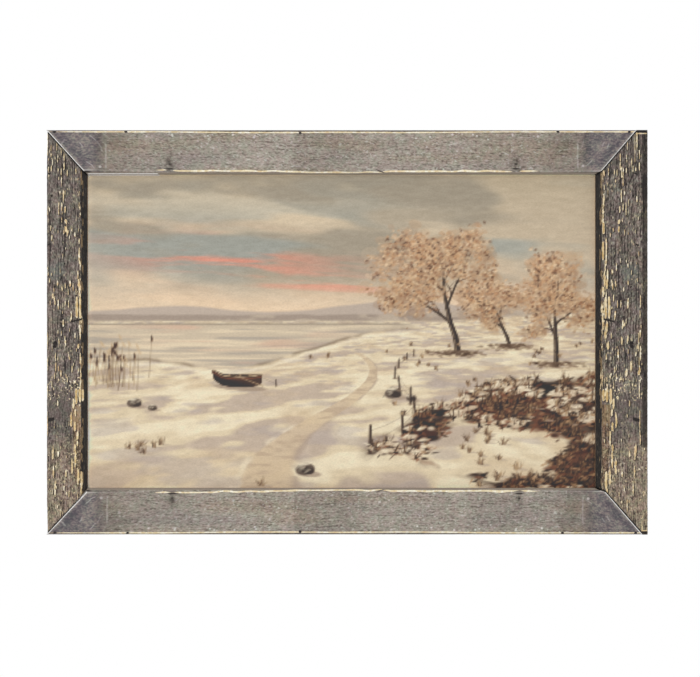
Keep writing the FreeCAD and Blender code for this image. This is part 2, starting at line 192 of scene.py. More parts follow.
def face_outwards() -> None:
    """Turns the faces of a closed piece outwards and shades its gentle edges smooth."""
    with edit_mode():
        bpy.ops.mesh.select_all(action="SELECT")
        bpy.ops.mesh.normals_make_consistent(inside=False)
    bpy.ops.object.shade_smooth_by_angle(angle=math.radians(50))


def report(piece: Object) -> None:
    """Logs the number of a piece's faces."""
    LOG.info("%s: %d faces", piece.name, len(piece.data.polygons))


class LatticeNoise:
    """Soft seeded noise between 0 and 1, read at any point of a plane."""

    cells = 256

    def __init__(self, seed: int) -> None:
        """Fills the lattice.

        Args:
            seed: picks the pattern, which is the same on each run.
        """
        self.table = np.random.default_rng(seed).random((self.cells, self.cells))

    def at(self, x: Field, y: Field) -> Field:
        """Reads one octave.

        Args:
            x: place across, in cells.
            y: place up, in cells.

        Returns:
            The noise there.
        """
        x, y = np.broadcast_arrays(np.asarray(x, float), np.asarray(y, float))
        column, row = np.floor(x).astype(int), np.floor(y).astype(int)
        across, up = x - column, y - row
        across = across * across * (3 - 2 * across)
        up = up * up * (3 - 2 * up)
        left, right = column % self.cells, (column + 1) % self.cells
        low, high = row % self.cells, (row + 1) % self.cells
        lower = blend(self.table[left, low], self.table[right, low], across)
        upper = blend(self.table[left, high], self.table[right, high], across)
        return blend(lower, upper, up)

    def fractal(self, x: Field, y: Field, octaves: int = 3, gain: float = 0.5) -> Field:
        """Adds octaves, each twice as fine as the last.

        Args:
            x: place across, in cells of the first octave.
            y: place up.
            octaves: how many there are.
            gain: how much weaker each is than the last.

        Returns:
            The noise there, between 0 and 1.
        """
        total, weight, sum_of_weights = 0.0, 1.0, 0.0
        for octave in range(octaves):
            size = 2.0**octave
            total = total + weight * self.at(x * size + 17.3 * octave, y * size + 5.9 * octave)
            sum_of_weights += weight
            weight *= gain
        return total / sum_of_weights


@dataclass(frozen=True)
class Photograph:
    """The photograph's frame of pixels, and how it lies on the front of the picture frame."""

    width_px: float = 700
    height_px: float = 677
    left_px: float = 46.5
    right_px: float = 648.1
    top_px: float = 130.1
    bottom_px: float = 534.5
    mm_per_px: float = 1.1735

    def down(self, y_px: float | Field) -> float | Field:
        """Distance in millimetres of a pixel row from the frame's top."""
        return (y_px - self.top_px) * self.mm_per_px

    def from_left(self, x_px: float | Field) -> float | Field:
        """Distance in millimetres of a pixel column from the frame's left side."""
        return (x_px - self.left_px) * self.mm_per_px

    def rise_down(self, start_px: float, end_px: float, along: Field) -> Field:
        """Rises softly from 0 at one pixel row to 1 at another."""
        return smooth(self.down(start_px), self.down(end_px), along)

    def rise_right(self, start_px: float, end_px: float, along: Field) -> Field:
        """Rises softly from 0 at one pixel column to 1 at another."""
        return smooth(self.from_left(start_px), self.from_left(end_px), along)

    def read_down(self, table: tuple[Pair, ...], along: Field) -> Field:
        """Reads a table of pixel rows and the values there."""
        rows, values = np.array(table).T
        return np.interp(along, self.down(rows), values)

    def read_right(self, table: tuple[Pair, ...], along: Field) -> Field:
        """Reads a table of pixel columns and the values there."""
        columns, values = np.array(table).T
        return np.interp(along, self.from_left(columns), values)


PHOTO = Photograph()


class Side(Enum):
    """Which board of the frame."""

    TOP = "top_rail"
    BOTTOM = "bottom_rail"
    LEFT = "left_stile"
    RIGHT = "right_stile"


def board_boxes() -> dict[Side, list[Vector]]:
    """Lowest and highest corner of each board's node, in millimetres."""
    return {side: [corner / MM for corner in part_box(side.value)] for side in Side}


@dataclass(frozen=True)
class MitreCut:
    """One sawn end of a board, as how far it reaches into the board at three places across it.

    The seam bends at the arris of the sight edge, because the rails and the stiles are bevelled there
    by different widths.
    """

    shoulder: float
    bend_across: float
    bend_reach: float
    at_sight: float
    at_outer: float

    def reach(self, across: Field, width: float) -> Field:
        """Distance from the board's square end to the cut, at a place across the board."""
        places = (self.shoulder, self.bend_across, width)
        return np.interp(across, places, (self.at_outer, self.bend_reach, self.at_sight))


@dataclass
class Section:
    """Stations round the section of a board, in millimetres.

    depth is measured from the back, across from the outer edge, and run along the surface from the
    outer arris, so that it is negative down the side and behind.
    """

    depth: Field
    across: Field
    run: Field
    normal_depth: Field
    normal_across: Field


@dataclass(frozen=True)
class Moulding:
    """The section that all the boards share, in millimetres."""

    thickness: float = 20.0
    arris_radius: float = 1.2
    rabbet_width: float = 6.9
    rabbet_depth: float = 6.6
    coarse_step: float = 3.0
    side_step: float = 1.3
    lip_step: float = 1.6

    def section(self, width: float, bevel: Pair, step: float, stops: list[float]) -> Section:
        """Lays out the stations round one board.

        Args:
            width: from the outer edge to the sight edge.
            bevel: width and depth of the bevel at the sight edge.
            step: spacing of the stations on the front.
            stops: places across the board that need a station of their own.

        Returns:
            The stations, in order from the back edge of the rabbet round the outer side to the lip.
        """
        radius, deep = self.arris_radius, self.thickness
        ledge = width - self.rabbet_width
        # Each corner has the spacing of the stations that lead up to it.
        corners = [(0.0, ledge, self.lip_step)]
        corners += [(0.0, stop, self.coarse_step) for stop in sorted(stops, reverse=True)]
        corners += [(0.0, 0.0, self.coarse_step), (deep - radius, 0.0, self.side_step)]
        for turn in (30, 60, 90):
            angle = math.radians(turn)
            rounded = (deep - radius + radius * math.sin(angle), radius - radius * math.cos(angle))
            corners.append((*rounded, radius))
        corners += [(deep, place, step) for place in (*sorted(stops), width - bevel[0])]
        corners += [
            (deep - bevel[1], width, step),
            (self.rabbet_depth, width, self.lip_step),
            (self.rabbet_depth, ledge, self.coarse_step),
        ]
        depth, across = [], []
        for start, end in zip(corners, corners[1:] + corners[:1]):
            pieces = max(1, round(math.dist(start[:2], end[:2]) / end[2]))
            for piece in range(pieces):
                depth.append(blend(start[0], end[0], piece / pieces))
                across.append(blend(start[1], end[1], piece / pieces))
        depth, across = np.array(depth), np.array(across)
        before = np.hypot(depth - np.roll(depth, 1), across - np.roll(across, 1))
        run = np.cumsum(before) - before[0]
        arris = int(np.argmin(np.hypot(depth - deep + radius, across)))
        run = run - run[arris] - radius
        along_depth = np.roll(depth, -1) - np.roll(depth, 1)
        along_across = np.roll(across, -1) - np.roll(across, 1)
        size = np.hypot(along_depth, along_across)
        return Section(depth, across, run, along_across / size, -along_depth / size)


@dataclass
class Relief:
    """What the wear does to a board: heights in millimetres, none above 0, and fields for its colours."""

    height: Field
    fields: dict[str, Field]


@dataclass(frozen=True)
class Flake:
    """A scale of old paint: its middle across the board, its ends along it, and its width."""

    across: float
    start: float
    end: float
    width: float


@dataclass(frozen=True)
class Knot:
    """A knot that the grain flows round."""

    along: float
    run: float
    size: float


class WoodRelief:
    """Grain, cracks and wear that both kinds of board share."""

    mitre_ease = (0.9, 1.2)
    line_width = 3.3

    def __init__(self, seed: int) -> None:
        """Sets up the noises.

        Args:
            seed: makes each board its own piece of wood.
        """
        self.noises = [LatticeNoise(seed * 31 + index) for index in range(8)]
        self.random = np.random.default_rng(seed)
        self.knots: list[Knot] = []

    def lie_on(self, along: Field, run: Field, to_mitre: Field, width: float, face_end: float) -> None:
        """Takes the places of a board's vertices on its surface, in millimetres.

        Args:
            along: place along the board.
            run: place round its section, from the outer arris.
            to_mitre: distance along the board to the nearer mitre.
            width: the board's width.
            face_end: run of the arris at the sight edge.
        """
        self.along, self.run, self.to_mitre = along, run, to_mitre
        self.width, self.face_end, self.past = width, face_end, run - face_end

    def follow_grain(self) -> None:
        """Sets grain to the run as the grain has it, wavy and parted round the knots."""
        self.grain = self.run + 5.0 * (self.noises[0].fractal(self.along / 60, self.run / 14, 2) - 0.5)
        for knot in self.knots:
            off = self.run - knot.run
            near = hump(self.along - knot.along, 2.6 * knot.size, off, 1.5 * knot.size)
            self.grain = self.grain - 0.75 * off * near

    def cracks(self, share: float) -> Field:
        """Opens long thin checks along the grain.

        Args:
            share: how much of the wood has checks.

        Returns:
            1 at the middle of a check.
        """
        lines = self.noises[1].fractal(self.along / 70, self.grain / 3.4, 2)
        patches = self.noises[2].fractal(self.along / 34, self.grain / 6, 2)
        open_here = smooth(1 - share - 0.08, 1 - share + 0.06, patches)
        return (1 - smooth(0.0, 0.03, np.abs(lines - 0.5))) * open_here

    def growth_lines(self, grain: Field) -> Field:
        """Draws dark lines between the growth rings, broken up along the board.

        Args:
            grain: the run as the rings follow it.

        Returns:
            1 at the middle of a line.
        """
        along = self.along
        turns = grain / self.line_width + 0.9 * self.noises[6].at(along / 45, grain / 9)
        wave = np.sin(2 * math.pi * turns)
        broken = smooth(0.3, 0.75, self.noises[7].fractal(along / 12 + 31, grain / 2.4, 2, 0.6))
        return (1 - smooth(-1.0, 0.0, wave)) * broken

    def front_share(self) -> Field:
        """1 on the front, the bevel and the outer side, and 0 behind and in the rabbet."""
        weathered = smooth(-21.0, -17.0, self.run)
        return weathered * (1 - smooth(self.face_end + 11, self.face_end + 14, self.run))

    def joint(self) -> Field:
        """1 along the line of a mitre, where two boards meet."""
        return 1 - smooth(0.25, 0.7, self.to_mitre)

    def raw_back(self) -> Field:
        """Height of the sawn back, with eased edges at the mitres."""
        saw = self.noises[2].at(self.along / 2.2, self.run / 40)
        return -0.05 - 0.06 * saw - 0.3 * self.joint()

    def open_mitre(self, height: Field) -> Field:
        """Eases the edges of the mitred ends."""
        deep, reach = self.mitre_ease
        return height - deep * (1 - smooth(0.0, reach, self.to_mitre)) * smooth(-1.0, 0.5, self.run)


@dataclass
class Board:
    """One board of the frame, drawn from its outer corner along and across, in millimetres."""

    side: Side
    corner: Pair
    along: Pair
    across: Pair
    length: float
    width: float
    start: MitreCut
    end: MitreCut
    bevel: Pair
    relief: WoodRelief
    step_along: float
    step_across: float
    mitre_rings: tuple[float, ...] = (0.0, 0.35, 0.75, 1.3)
    moulding: Moulding = Moulding()

    def build(self) -> Object:
        """Models the board: a section run along it, divided, shaped and capped.

        Returns:
            The finished object, which rides on the frame and replaces its node.
        """
        stops = sorted({cut.shoulder for cut in (self.start, self.end)} - {0.0})
        section = self.moulding.section(self.width, self.bevel, self.step_across, stops)
        piece, rings = self.run_section(section)
        ring, station = self.take_stations(piece.data, rings)
        across, depth = section.across[station], section.depth[station]
        first = self.start.reach(across, self.width)
        last = self.length - self.end.reach(across, self.width)
        along = blend(first, last, self.ring_shares(rings)[ring])
        to_mitre = np.minimum(along - first, last - along)
        self.relief.lie_on(along, section.run[station], to_mitre, self.width, self.width - self.bevel[0])
        wear = self.relief.wear()
        lift = np.minimum(wear.height, 0)
        depth = depth + lift * section.normal_depth[station]
        across = across + lift * section.normal_across[station]
        self.place(piece, along, across, depth)
        for name, values in wear.fields.items():
            layer = piece.data.attributes.new(name, "FLOAT", "POINT")
            layer.data.foreach_set("value", values.astype(np.float32))
        self.cap(piece, ring, rings, section.across[station])
        face_outwards()
        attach(piece, FRAME_BODY)
        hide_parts(self.side.value)
        return piece

    def run_section(self, section: Section) -> tuple[Object, int]:
        """Extrudes the section's outline along the board and divides it into rings.

        Args:
            section: the stations round the board.

        Returns:
            The object, and the number of spaces between its rings.
        """
        count = len(section.depth)
        piece = new_outline(f"{self.side.value}_board", count, False)
        places = np.stack([np.zeros(count), -section.depth * MM, section.across * MM], axis=1)
        piece.data.vertices.foreach_set("co", places.ravel())
        layer = piece.data.attributes.new("station", "FLOAT", "POINT")
        layer.data.foreach_set("value", np.arange(count, dtype=np.float32))
        with edit_mode():
            bpy.ops.mesh.select_mode(type="EDGE")
            bpy.ops.mesh.select_all(action="SELECT")
            bpy.ops.mesh.extrude_region_move(TRANSFORM_OT_translate={"value": (1.0, 0, 0)})
        coarse = 20
        fine = round(self.length / self.step_along / coarse)
        for cuts in (coarse - 1, fine - 1):
            self.select_long_edges(piece.data)
            with edit_mode():
                bpy.ops.mesh.subdivide(number_cuts=cuts)
        return piece, coarse * fine

    def select_long_edges(self, mesh: Mesh) -> None:
        """Selects the edges that run along the board, and nothing else.

        Args:
            mesh: the board's mesh, one metre long.
        """
        ends = np.zeros(len(mesh.edges) * 2, int)
        mesh.edges.foreach_get("vertices", ends)
        x = place_of(mesh)[:, 0][ends.reshape(-1, 2)]
        deselect(mesh)
        mesh.edges.foreach_set("select", np.abs(x[:, 0] - x[:, 1]) > 1e-6)

    def take_stations(self, mesh: Mesh, rings: int) -> tuple[Field, Field]:
        """Reads the ring and the station of each vertex, and takes the stations off the mesh.

        Args:
            mesh: the board's mesh, one metre long.
            rings: number of spaces between the rings.

        Returns:
            The ring and the station of each vertex, as whole numbers.
        """
        station = np.zeros(len(mesh.vertices), np.float32)
        mesh.attributes["station"].data.foreach_get("value", station)
        mesh.attributes.remove(mesh.attributes["station"])
        return np.round(place_of(mesh)[:, 0] * rings).astype(int), np.round(station).astype(int)

    def ring_shares(self, rings: int) -> Field:
        """How far along the board each ring lies, with close rings at the mitres.

        Args:
            rings: number of spaces between the rings.

        Returns:
            0 at the start and 1 at the end.
        """
        near = np.array(self.mitre_rings) / self.length
        middle = np.linspace(near[-1], 1 - near[-1], rings + 3 - 2 * len(near))[1:-1]
        return np.concatenate([near, middle, 1 - near[::-1]])

    def place(self, piece: Object, along: Field, across: Field, depth: Field) -> None:
        """Moves the vertices from board coordinates to their places in the frame.

        Args:
            piece: the board.
            along: place of each vertex along the board.
            across: its place across the board.
            depth: its height above the back.
        """
        x = self.corner[0] + self.along[0] * along + self.across[0] * across
        z = self.corner[1] + self.along[1] * along + self.across[1] * across
        places = np.stack([x, -depth, z], axis=1) * MM
        piece.data.vertices.foreach_set("co", places.ravel())
        piece.data.update()

    def cap(self, piece: Object, ring: Field, rings: int, across: Field) -> None:
        """Closes the sawn ends, each in one flat face, or in two where a shoulder is left.

        Args:
            piece: the open board.
            ring: ring of each vertex.
            rings: number of the last ring.
            across: place of each vertex across the board.
        """
        for number, cut in ((0, self.start), (rings, self.end)):
            parts = [across > cut.shoulder - 0.01]
            if cut.shoulder:
                parts.append(across < cut.shoulder + 0.01)
            for part in parts:
                deselect(piece.data)
                piece.data.vertices.foreach_set("select", part & (ring == number))
                with edit_mode():
                    bpy.ops.mesh.select_mode(type="VERT")
                    bpy.ops.mesh.edge_face_add()


# The dark stiles.

LEFT_STILE_FLAKES_PX = (
    (63.6, 154, 161, 1.2), (63.5, 163, 170, 1.28), (60.7, 168, 175, 1.04), (57.6, 168, 173, 1.04),
    (62.8, 190, 202, 1.28), (59.6, 191, 195, 0.96), (58.3, 203, 214, 0.96), (61.3, 203, 211, 0.96),
    (64.6, 207, 213, 1.36), (65.4, 220, 224, 2.2), (65.9, 227, 232, 1.9), (71.4, 228, 232, 0.96),
    (74.4, 233, 237, 1.2), (78.7, 238, 245, 1.12), (78.7, 247, 264, 1.36), (79.8, 261, 272, 1.04),
    (77.5, 271, 279, 1.36), (78.4, 280, 289, 1.9), (57.1, 281, 285, 1.2), (69.6, 281, 287, 1.44),
    (72.6, 284, 290, 1.12), (61.7, 287, 291, 1.2), (57.8, 300, 309, 1.36), (64.6, 301, 307, 0.96),
    (68.0, 301, 308, 0.96), (76.3, 297, 318, 2.5), (79.8, 297, 319, 2.5), (71.0, 313, 320, 1.12),
    (62.7, 320, 327, 1.36), (79.9, 325, 340, 1.36), (74.6, 333, 338, 1.12), (64.5, 337, 344, 1.12),
    (58.5, 339, 344, 1.12), (77.9, 344, 349, 1.9), (79.8, 354, 360, 1.2), (55.3, 363, 372, 1.04),
    (60.4, 371, 377, 1.12), (66.8, 379, 382, 1.12), (75.8, 389, 404, 2.5), (79.6, 388.6, 402, 2.8),
    (83.2, 390, 401, 2.4), (73.0, 399, 409, 1.9), (74.8, 409, 416, 1.7), (70.6, 413, 428, 2.0),
    (74.4, 422, 431, 2.2), (77.0, 432, 440, 1.9), (77.0, 441, 446, 1.7), (74.6, 445, 451, 2.0),
    (75.0, 451, 467, 1.9), (71.6, 459, 474, 2.0), (77.6, 468, 485, 2.2), (81.4, 472, 489, 2.5),
    (52.4, 447, 460, 1.7), (52.9, 466, 477, 1.5), (54.6, 482, 496, 1.2), (80.8, 489, 494, 1.9),
    (57.7, 451, 457, 1.6), (65.4, 471, 477, 1.5), (57.3, 155, 162, 0.9), (56.4, 142, 150, 0.9),
    (52.2, 159, 165, 0.9), (48.2, 167, 171, 1.1),
    (50.8, 166, 172, 1.0), (66.8, 170, 176, 0.9), (75.4, 169, 175, 0.9), (61.0, 176, 186, 0.9),
    (46.9, 131, 150, 1.1), (47.1, 332, 350, 1.0), (47.0, 358, 372, 1.0), (47.1, 384, 398, 1.1),
    (47.0, 412, 436, 1.0), (68.4, 352, 358, 1.0), (71.6, 366, 373, 1.1), (57.2, 401, 406, 1.2),
    (63.5, 486, 491, 1.0), (68.6, 492, 497, 1.0),
)
RIGHT_STILE_FLAKES_PX = (
    (640.0, 150, 158, 1.1), (640.0, 163, 170, 1.2), (604.8, 172, 177, 0.8), (604.6, 193, 201, 1.0),
    (602.4, 182, 196, 0.8), (603.9, 222, 234, 2.4), (603.4, 242, 260, 2.4), (606.8, 238, 265, 1.3),
    (605.2, 273, 287, 1.9), (608.0, 270, 285, 1.5), (603.8, 287, 296, 2.2), (607.4, 322, 332, 2.0),
    (606.0, 331, 339, 2.2), (640.6, 330, 338, 1.7), (641.0, 346, 360, 1.3), (639.4, 371, 375, 2.2),
    (631.2, 362, 370, 1.3), (640.8, 436, 445, 1.3), (636.4, 444, 454, 1.4),
    (645.4, 139, 141, 1.0), (645.4, 147, 150, 1.0), (645.6, 156, 158, 1.0), (645.3, 165, 167, 1.0),
    (627.6, 500, 512, 1.0), (616.0, 311, 317, 1.3), (622.6, 337, 345, 1.3), (628.6, 336, 341, 1.1),
    (608.9, 342, 348, 1.4), (638.0, 345, 349, 1.4), (619.0, 350, 362, 0.9), (636.3, 352, 356, 1.5),
    (632.4, 361, 370, 1.0), (627.3, 369, 376, 1.5), (621.5, 377, 380, 1.4), (640.2, 367, 373, 1.8),
    (641.0, 296, 308, 1.0), (640.6, 311, 318, 1.0), (628.7, 299, 307, 1.3), (637.4, 197, 202, 1.4),
)


class FlakingPaint(WoodRelief):
    """A dark open-grained stile with scales of cream paint left in its grain."""

    relief_depth = 0.5
    flake_thickness = 0.22
    small_flakes = 190
    strip_width = 2.6
    # How far back the flakes' painted drop shadow is read, along and across the board.
    shadow = (0.6, 0.95)
    corner_wear = 0.9
    tan_lift = 0.3
    holes_px = (
        (51, 196, 1.1), (54.6, 343.2, 1.7), (54.2, 346.6, 1.5), (54.3, 287, 0.9), (64.0, 264, 0.8),
        (58, 160, 0.7), (66, 428, 0.7),
    )
    gouges_px = ((47.5, 53.8, 419.8, 1.9), (71, 82, 320.6, 0.9), (46, 50, 174, 0.8), (46, 49, 245, 0.8))
    calm_down = ((385, 0.0), (402, 0.85), (440, 0.7), (470, 0.42), (530, 0.42))
    cool_down = (
        (140, 1.0), (175, 1.0), (205, 0.82), (240, 0.82), (280, 0.74), (380, 0.76), (410, 1.15),
        (430, 1.0), (450, 0.25), (480, 0.0),
    )

    def __init__(self, seed: int, shift: Pair) -> None:
        """Places the knots, the holes and the gouges.

        Args:
            seed: makes each stile its own piece of wood.
            shift: how much further the flakes lie from the outer edge than on the left stile, at the
                top and at the bottom.
        """
        super().__init__(seed)
        self.shift = shift
        self.knots = [Knot(*self.place(61.4, 181), 4.5), Knot(*self.place(62, 322), 4.0)]
        self.holes = [(*self.place(x_px, y_px), radius) for x_px, y_px, radius in self.holes_px]
        self.gouges = [
            (*self.place((x0 + x1) / 2, y_px), (x1 - x0) / 2 * PHOTO.mm_per_px, thick)
            for x0, x1, y_px, thick in self.gouges_px
        ]

    def place(self, x_px: float, y_px: float) -> Pair:
        """Turns a place on the photographed left stile into one along and across this stile."""
        along = PHOTO.down(y_px)
        return along, PHOTO.from_left(x_px) + float(np.interp(along, (40, 430), self.shift))

    def flakes(self) -> list[Flake]:
        """Lists the larger flakes as the photograph shows them, and many small ones by chance.

        Returns:
            The flakes.
        """
        listed = []
        for x_px, top_px, bottom_px, width_px in LEFT_STILE_FLAKES_PX:
            start, middle = self.place(x_px, top_px)
            listed.append(Flake(middle, start, PHOTO.down(bottom_px), width_px * PHOTO.mm_per_px))
        listed += self.own_flakes()
        length = self.along.max()
        for _ in range(self.small_flakes):
            middle = self.random.uniform(0.5, self.face_end)
            start = self.random.uniform(0, length)
            crowd = float(self.noises[6].at(start / 34, middle / 10))
            low = float(PHOTO.read_down(self.calm_down, start))
            if self.random.random() > (0.15 + smooth(0.35, 0.8, crowd + 0.1)) * (1 - 0.7 * low):
                continue
            size = (self.random.gamma(2.0, 1.4) + 2.0) * (1 - 0.5 * low)
            listed.append(Flake(middle, start, start + size, self.random.uniform(0.6, 1.25)))
        return listed

    def own_flakes(self) -> list[Flake]:
        """Flakes that only this stile has."""
        return []

    def paint_field(self, flakes: list[Flake], off: Pair = (0, 0)) -> Field:
        """Finds how much paint is left: over 0.5 is painted, and a little under is stained.

        Args:
            flakes: the scales of paint.
            off: reads the field that far back along and across the board.

        Returns:
            The level at each vertex.
        """
        along, run, grain = self.along - off[0], self.run - off[1], self.grain - off[1]
        edge = self.noises[5].fractal(along / 2.6, grain / 0.8, 2, 0.6) - 0.5
        found = np.zeros_like(run)
        for flake in flakes:
            half_length = (flake.end - flake.start) / 2 + 0.5
            far_along, far_run = np.abs(along - (flake.end + flake.start) / 2), np.abs(run - flake.across)
            near = (far_along < half_length * 1.7) & (far_run < flake.width * 1.7)
            off_along, off_run = far_along[near] / half_length, far_run[near] / (flake.width * 0.5)
            sharpness, raggedness = (7, 0.6) if flake.width > 2.7 else (3, 1.1)
            level = 1.02 - 0.5 * off_along**sharpness - 0.5 * off_run**1.8
            level = np.minimum(level + raggedness * edge[near], 1.0 if flake.width > 2.1 else 0.66)
            found[near] = np.maximum(found[near], level)
        past = run - self.face_end
        strip = np.abs(past + 1.2) / self.strip_width
        worn = self.noises[7].fractal(along / 17, grain / 3, 3)
        level = 0.06 * smooth(90, 200, along) - 0.06 + 0.42 * (1 - strip) + 1.6 * (worn - 0.5) + 0.8 * edge
        calm = smooth(0.1, 0.5, PHOTO.read_down(self.calm_down, along))
        found = np.maximum(found, level * (strip < 1.5) * (1 - calm * (1 - PHOTO.rise_down(470, 480, along))))
        bare = smooth(0.42, 0.62, self.noises[2].fractal(along / 9, run / 2.4, 2)) * 0.43
        beside = smooth(-1.5, 0.0, past) * (1 - smooth(3.0, 6.5, past))
        return np.clip(np.maximum(found, bare * beside), 0, 1)

    def tanned(self) -> Field:
        """Marks the brown zone between the flakes at the foot of the stile and the sight edge.

        Returns:
            1 in the zone.
        """
        along, past, low = self.along, self.past, PHOTO.down(404)
        zone = smooth(-1.0, 1.5, past + np.interp(along, (low, low + 90), (11.5, 7.5)))
        zone = zone * smooth(low - 1, low + 2, along) * (1 - smooth(low + 85, low + 100, along))
        return zone * (1 - smooth(-0.5, 0.6, past))

    def ridge(self, calm: Field, tanned: Field) -> Field:
        """Builds up the grain: fibres, pores, streaks, slits, growth lines, and grit at the foot.

        Args:
            calm: how smooth and plain the wood is.
            tanned: 1 in the brown zone.

        Returns:
            0 in the hollows and 1 on the crests.
        """
        along, run, grain, noises = self.along, self.run, self.grain, self.noises
        fibres = smooth(0.2, 0.8, noises[3].at(along / 7.0, grain / 1.1)) - 0.5
        pores = noises[4].at(along / 1.5, grain / 0.95) - 0.5
        streak = noises[4].fractal(along / 30, grain / 3.5, 2) - 0.5
        lines = np.abs(noises[0].fractal(along / 26 + 50, grain / 2.1, 2, 0.6) - 0.5)
        slit = (1 - smooth(0.01, 0.05, lines)) * smooth(0.4, 0.6, noises[7].at(along / 13, grain / 4))
        growth = self.growth_lines(grain)
        ridge = 0.605 + 0.16 * fibres + 0.6 * pores + 0.22 * streak - 0.42 * slit - 0.55 * growth
        grit = 0.55 * (noises[2].fractal(along / 1.6 + 17, run / 1.4, 2, 0.6) - 0.5)
        grit = grit * PHOTO.rise_down(400, 425, along)
        lift = self.tan_lift * (1 - PHOTO.rise_down(424, 436, along)) - 0.12
        return np.clip(blend(ridge, 0.5 + 0.3 * (ridge - 0.5), calm) + grit + lift * tanned, 0, 1)

    def slivers(self, ridge: Field) -> tuple[Field, Field]:
        """Scatters pale slivers over the crests, and specks of paint over the foot.

        Args:
            ridge: the grain's hollows and crests.

        Returns:
            The slivers and the specks, each 1 at its middle.
        """
        along, run, noises = self.along, self.run, self.noises
        pale = noises[1].at(along / 2.4 + 40, self.grain / 0.85 + 11)
        pale = pale + 0.3 * (noises[6].fractal(along / 22 + 60, run / 9, 2) - 0.5)
        low_down = smooth(0.55, 0.95, along / along.max())
        sliver = smooth(0.72, 0.9, pale + 0.05 * low_down) * smooth(0.3, 0.5, ridge)
        speck = smooth(0.64, 0.76, noises[5].fractal(along / 1.9 + 9, run / 1.5, 2))
        rough = PHOTO.rise_down(370, 380, along) * PHOTO.rise_down(408, 398, along)
        speck = speck * np.maximum(rough, 0.8 * PHOTO.rise_down(425, 450, along))
        return sliver, speck * (1 - smooth(-2.0, -0.8, self.past))

    def marks(self, level: Field, crack: Field) -> tuple[Field, Field]:
        """Cuts the nail holes, the gouges and the rings of the knots.

        Args:
            level: how much paint is left.
            crack: how deep the wood is cut, with the painted shadows of the flakes in it.

        Returns:
            The paint and the cuts, with the marks in them.
        """
        along, run = self.along, self.run
        for hole_along, hole_run, radius in self.holes:
            pit = 1 - smooth(radius * 0.9, radius * 1.5, np.hypot(along - hole_along, run - hole_run))
            crack, level = np.maximum(crack, 1.6 * pit), level * (1 - pit)
        for gouge_along, gouge_run, half, thick in self.gouges:
            slant = along - gouge_along + 0.25 * (run - gouge_run)
            cut = self.bar(slant, thick, run, (gouge_run - half, gouge_run + half))
            crack, level = np.maximum(crack, 1.4 * cut), level * (1 - cut)
        for knot in self.knots:
            distance = np.hypot((along - knot.along) * 0.8, run - knot.run)
            broken = smooth(0.3, 0.6, self.noises[2].at(along / 2, run / 2))
            crack = np.maximum(crack, hump(distance - knot.size * 0.62, 0.6) * broken)
        return level, crack

    def wear(self) -> Relief:
        """Works out the relief and the colour fields of a stile.

        Returns:
            The heights and the fields.
        """
        along, run = self.along, self.run
        self.follow_grain()
        tanned = self.tanned()
        calm = PHOTO.read_down(self.calm_down, along) * (1 - 0.6 * tanned)
        ridge = self.ridge(calm, tanned)
        sliver, speck = self.slivers(ridge)
        sliver = np.maximum(sliver * (1 - 0.7 * calm), speck)
        crack = self.cracks(0.42) * (1 - 0.7 * calm)
        front = self.front_share()
        flakes = self.flakes()
        level = self.paint_field(flakes) * front
        # Painted shadow: the flakes, read a little back, darken and sink the bare wood just below and beside
        # them.
        behind = self.paint_field(flakes, self.shadow)
        crack = np.maximum(crack, 0.95 * smooth(0.4, 0.54, behind) * (1 - smooth(0.36, 0.46, level)))
        bevel = smooth(self.face_end - 0.2, self.face_end + 0.9, run) * front
        golden = tanned * (1 - PHOTO.rise_down(424, 436, along))
        patches = smooth(0.4, 0.6, self.noises[3].at(along / 16, run / 1.2))
        level = np.maximum.reduce([level, 0.355 * golden + 0.06 * golden * patches, 0.64 * speck])
        level, crack = self.marks(level, crack)
        level, crack, strip = self.extras(level, crack)
        bare = -self.flake_thickness - self.relief_depth * (1 - ridge) + 0.1 * sliver
        bare = bare - 0.7 * crack - 0.5 * strip
        painted = -0.04 - 0.12 * (1 - ridge) - 0.4 * strip
        height = blend(bare, painted, smooth(0.44, 0.56, level))
        height = blend(height, np.minimum(height, -0.1 - 0.35 * (1 - ridge)), bevel)
        height = self.open_mitre(self.worn_arris(height))
        fields = {
            "ridge": ridge,
            "joint": self.joint(),
            "sliver": sliver,
            "crack": np.clip(crack, 0, 1) * front,
            "paint": level,
            "tone": blend(self.tone(), 0.85, tanned),
            "calm": self.mildew() * front,
            "lip": bevel,
            "front": front,
            "shade": np.clip(strip, 0, 1) * front,
            "seam": (1 - smooth(2.0, 3.1, self.to_mitre)) * smooth(-1.0, 0.2, run) * front,
        }
        return Relief(blend(self.raw_back(), height, front), fields)

    def mildew(self) -> Field:
        """A soft patch where the wood has gone grey and green.

        Returns:
            1 at its strongest.
        """
        along, across = self.place(55.5, 272)
        distance = np.hypot((self.along - along) / 13, (self.run - across) / 11)
        cloud = self.noises[0].fractal(self.along / 9, self.run / 7, 2) - 0.5
        return 0.62 * (1 - smooth(0.55, 1.25, distance + 0.7 * cloud))

    def tone(self) -> Field:
        """Cool and dark at the top, 0.2, and as the finish says at the foot, 0.5.

        Returns:
            The tone.
        """
        cloud = self.noises[6].fractal(self.along / 26, self.run / 11, 3) - 0.5
        share = PHOTO.read_down(self.cool_down, self.along)
        return np.clip(0.5 - 0.3 * (share + 0.9 * cloud), 0, 1)

    def extras(self, level: Field, crack: Field) -> tuple[Field, Field, Field]:
        """Leaves the paint and the cracks as they are, with no strip: the right stile has more."""
        return level, crack, np.zeros_like(self.run)

    def bar(self, off: Field, half_width: float, place: Field, span: Pair) -> Field:
        """Draws a straight line of some width.

        Args:
            off: distance from its middle line.
            half_width: half its width.
            place: distance along it.
            span: where it starts and ends.

        Returns:
            1 on the line.
        """
        start, end = span
        inside = smooth(start - 0.6, start + 0.4, place) * (1 - smooth(end - 0.4, end + 0.6, place))
        return (1 - smooth(half_width * 0.6, half_width * 1.3, np.abs(off))) * inside

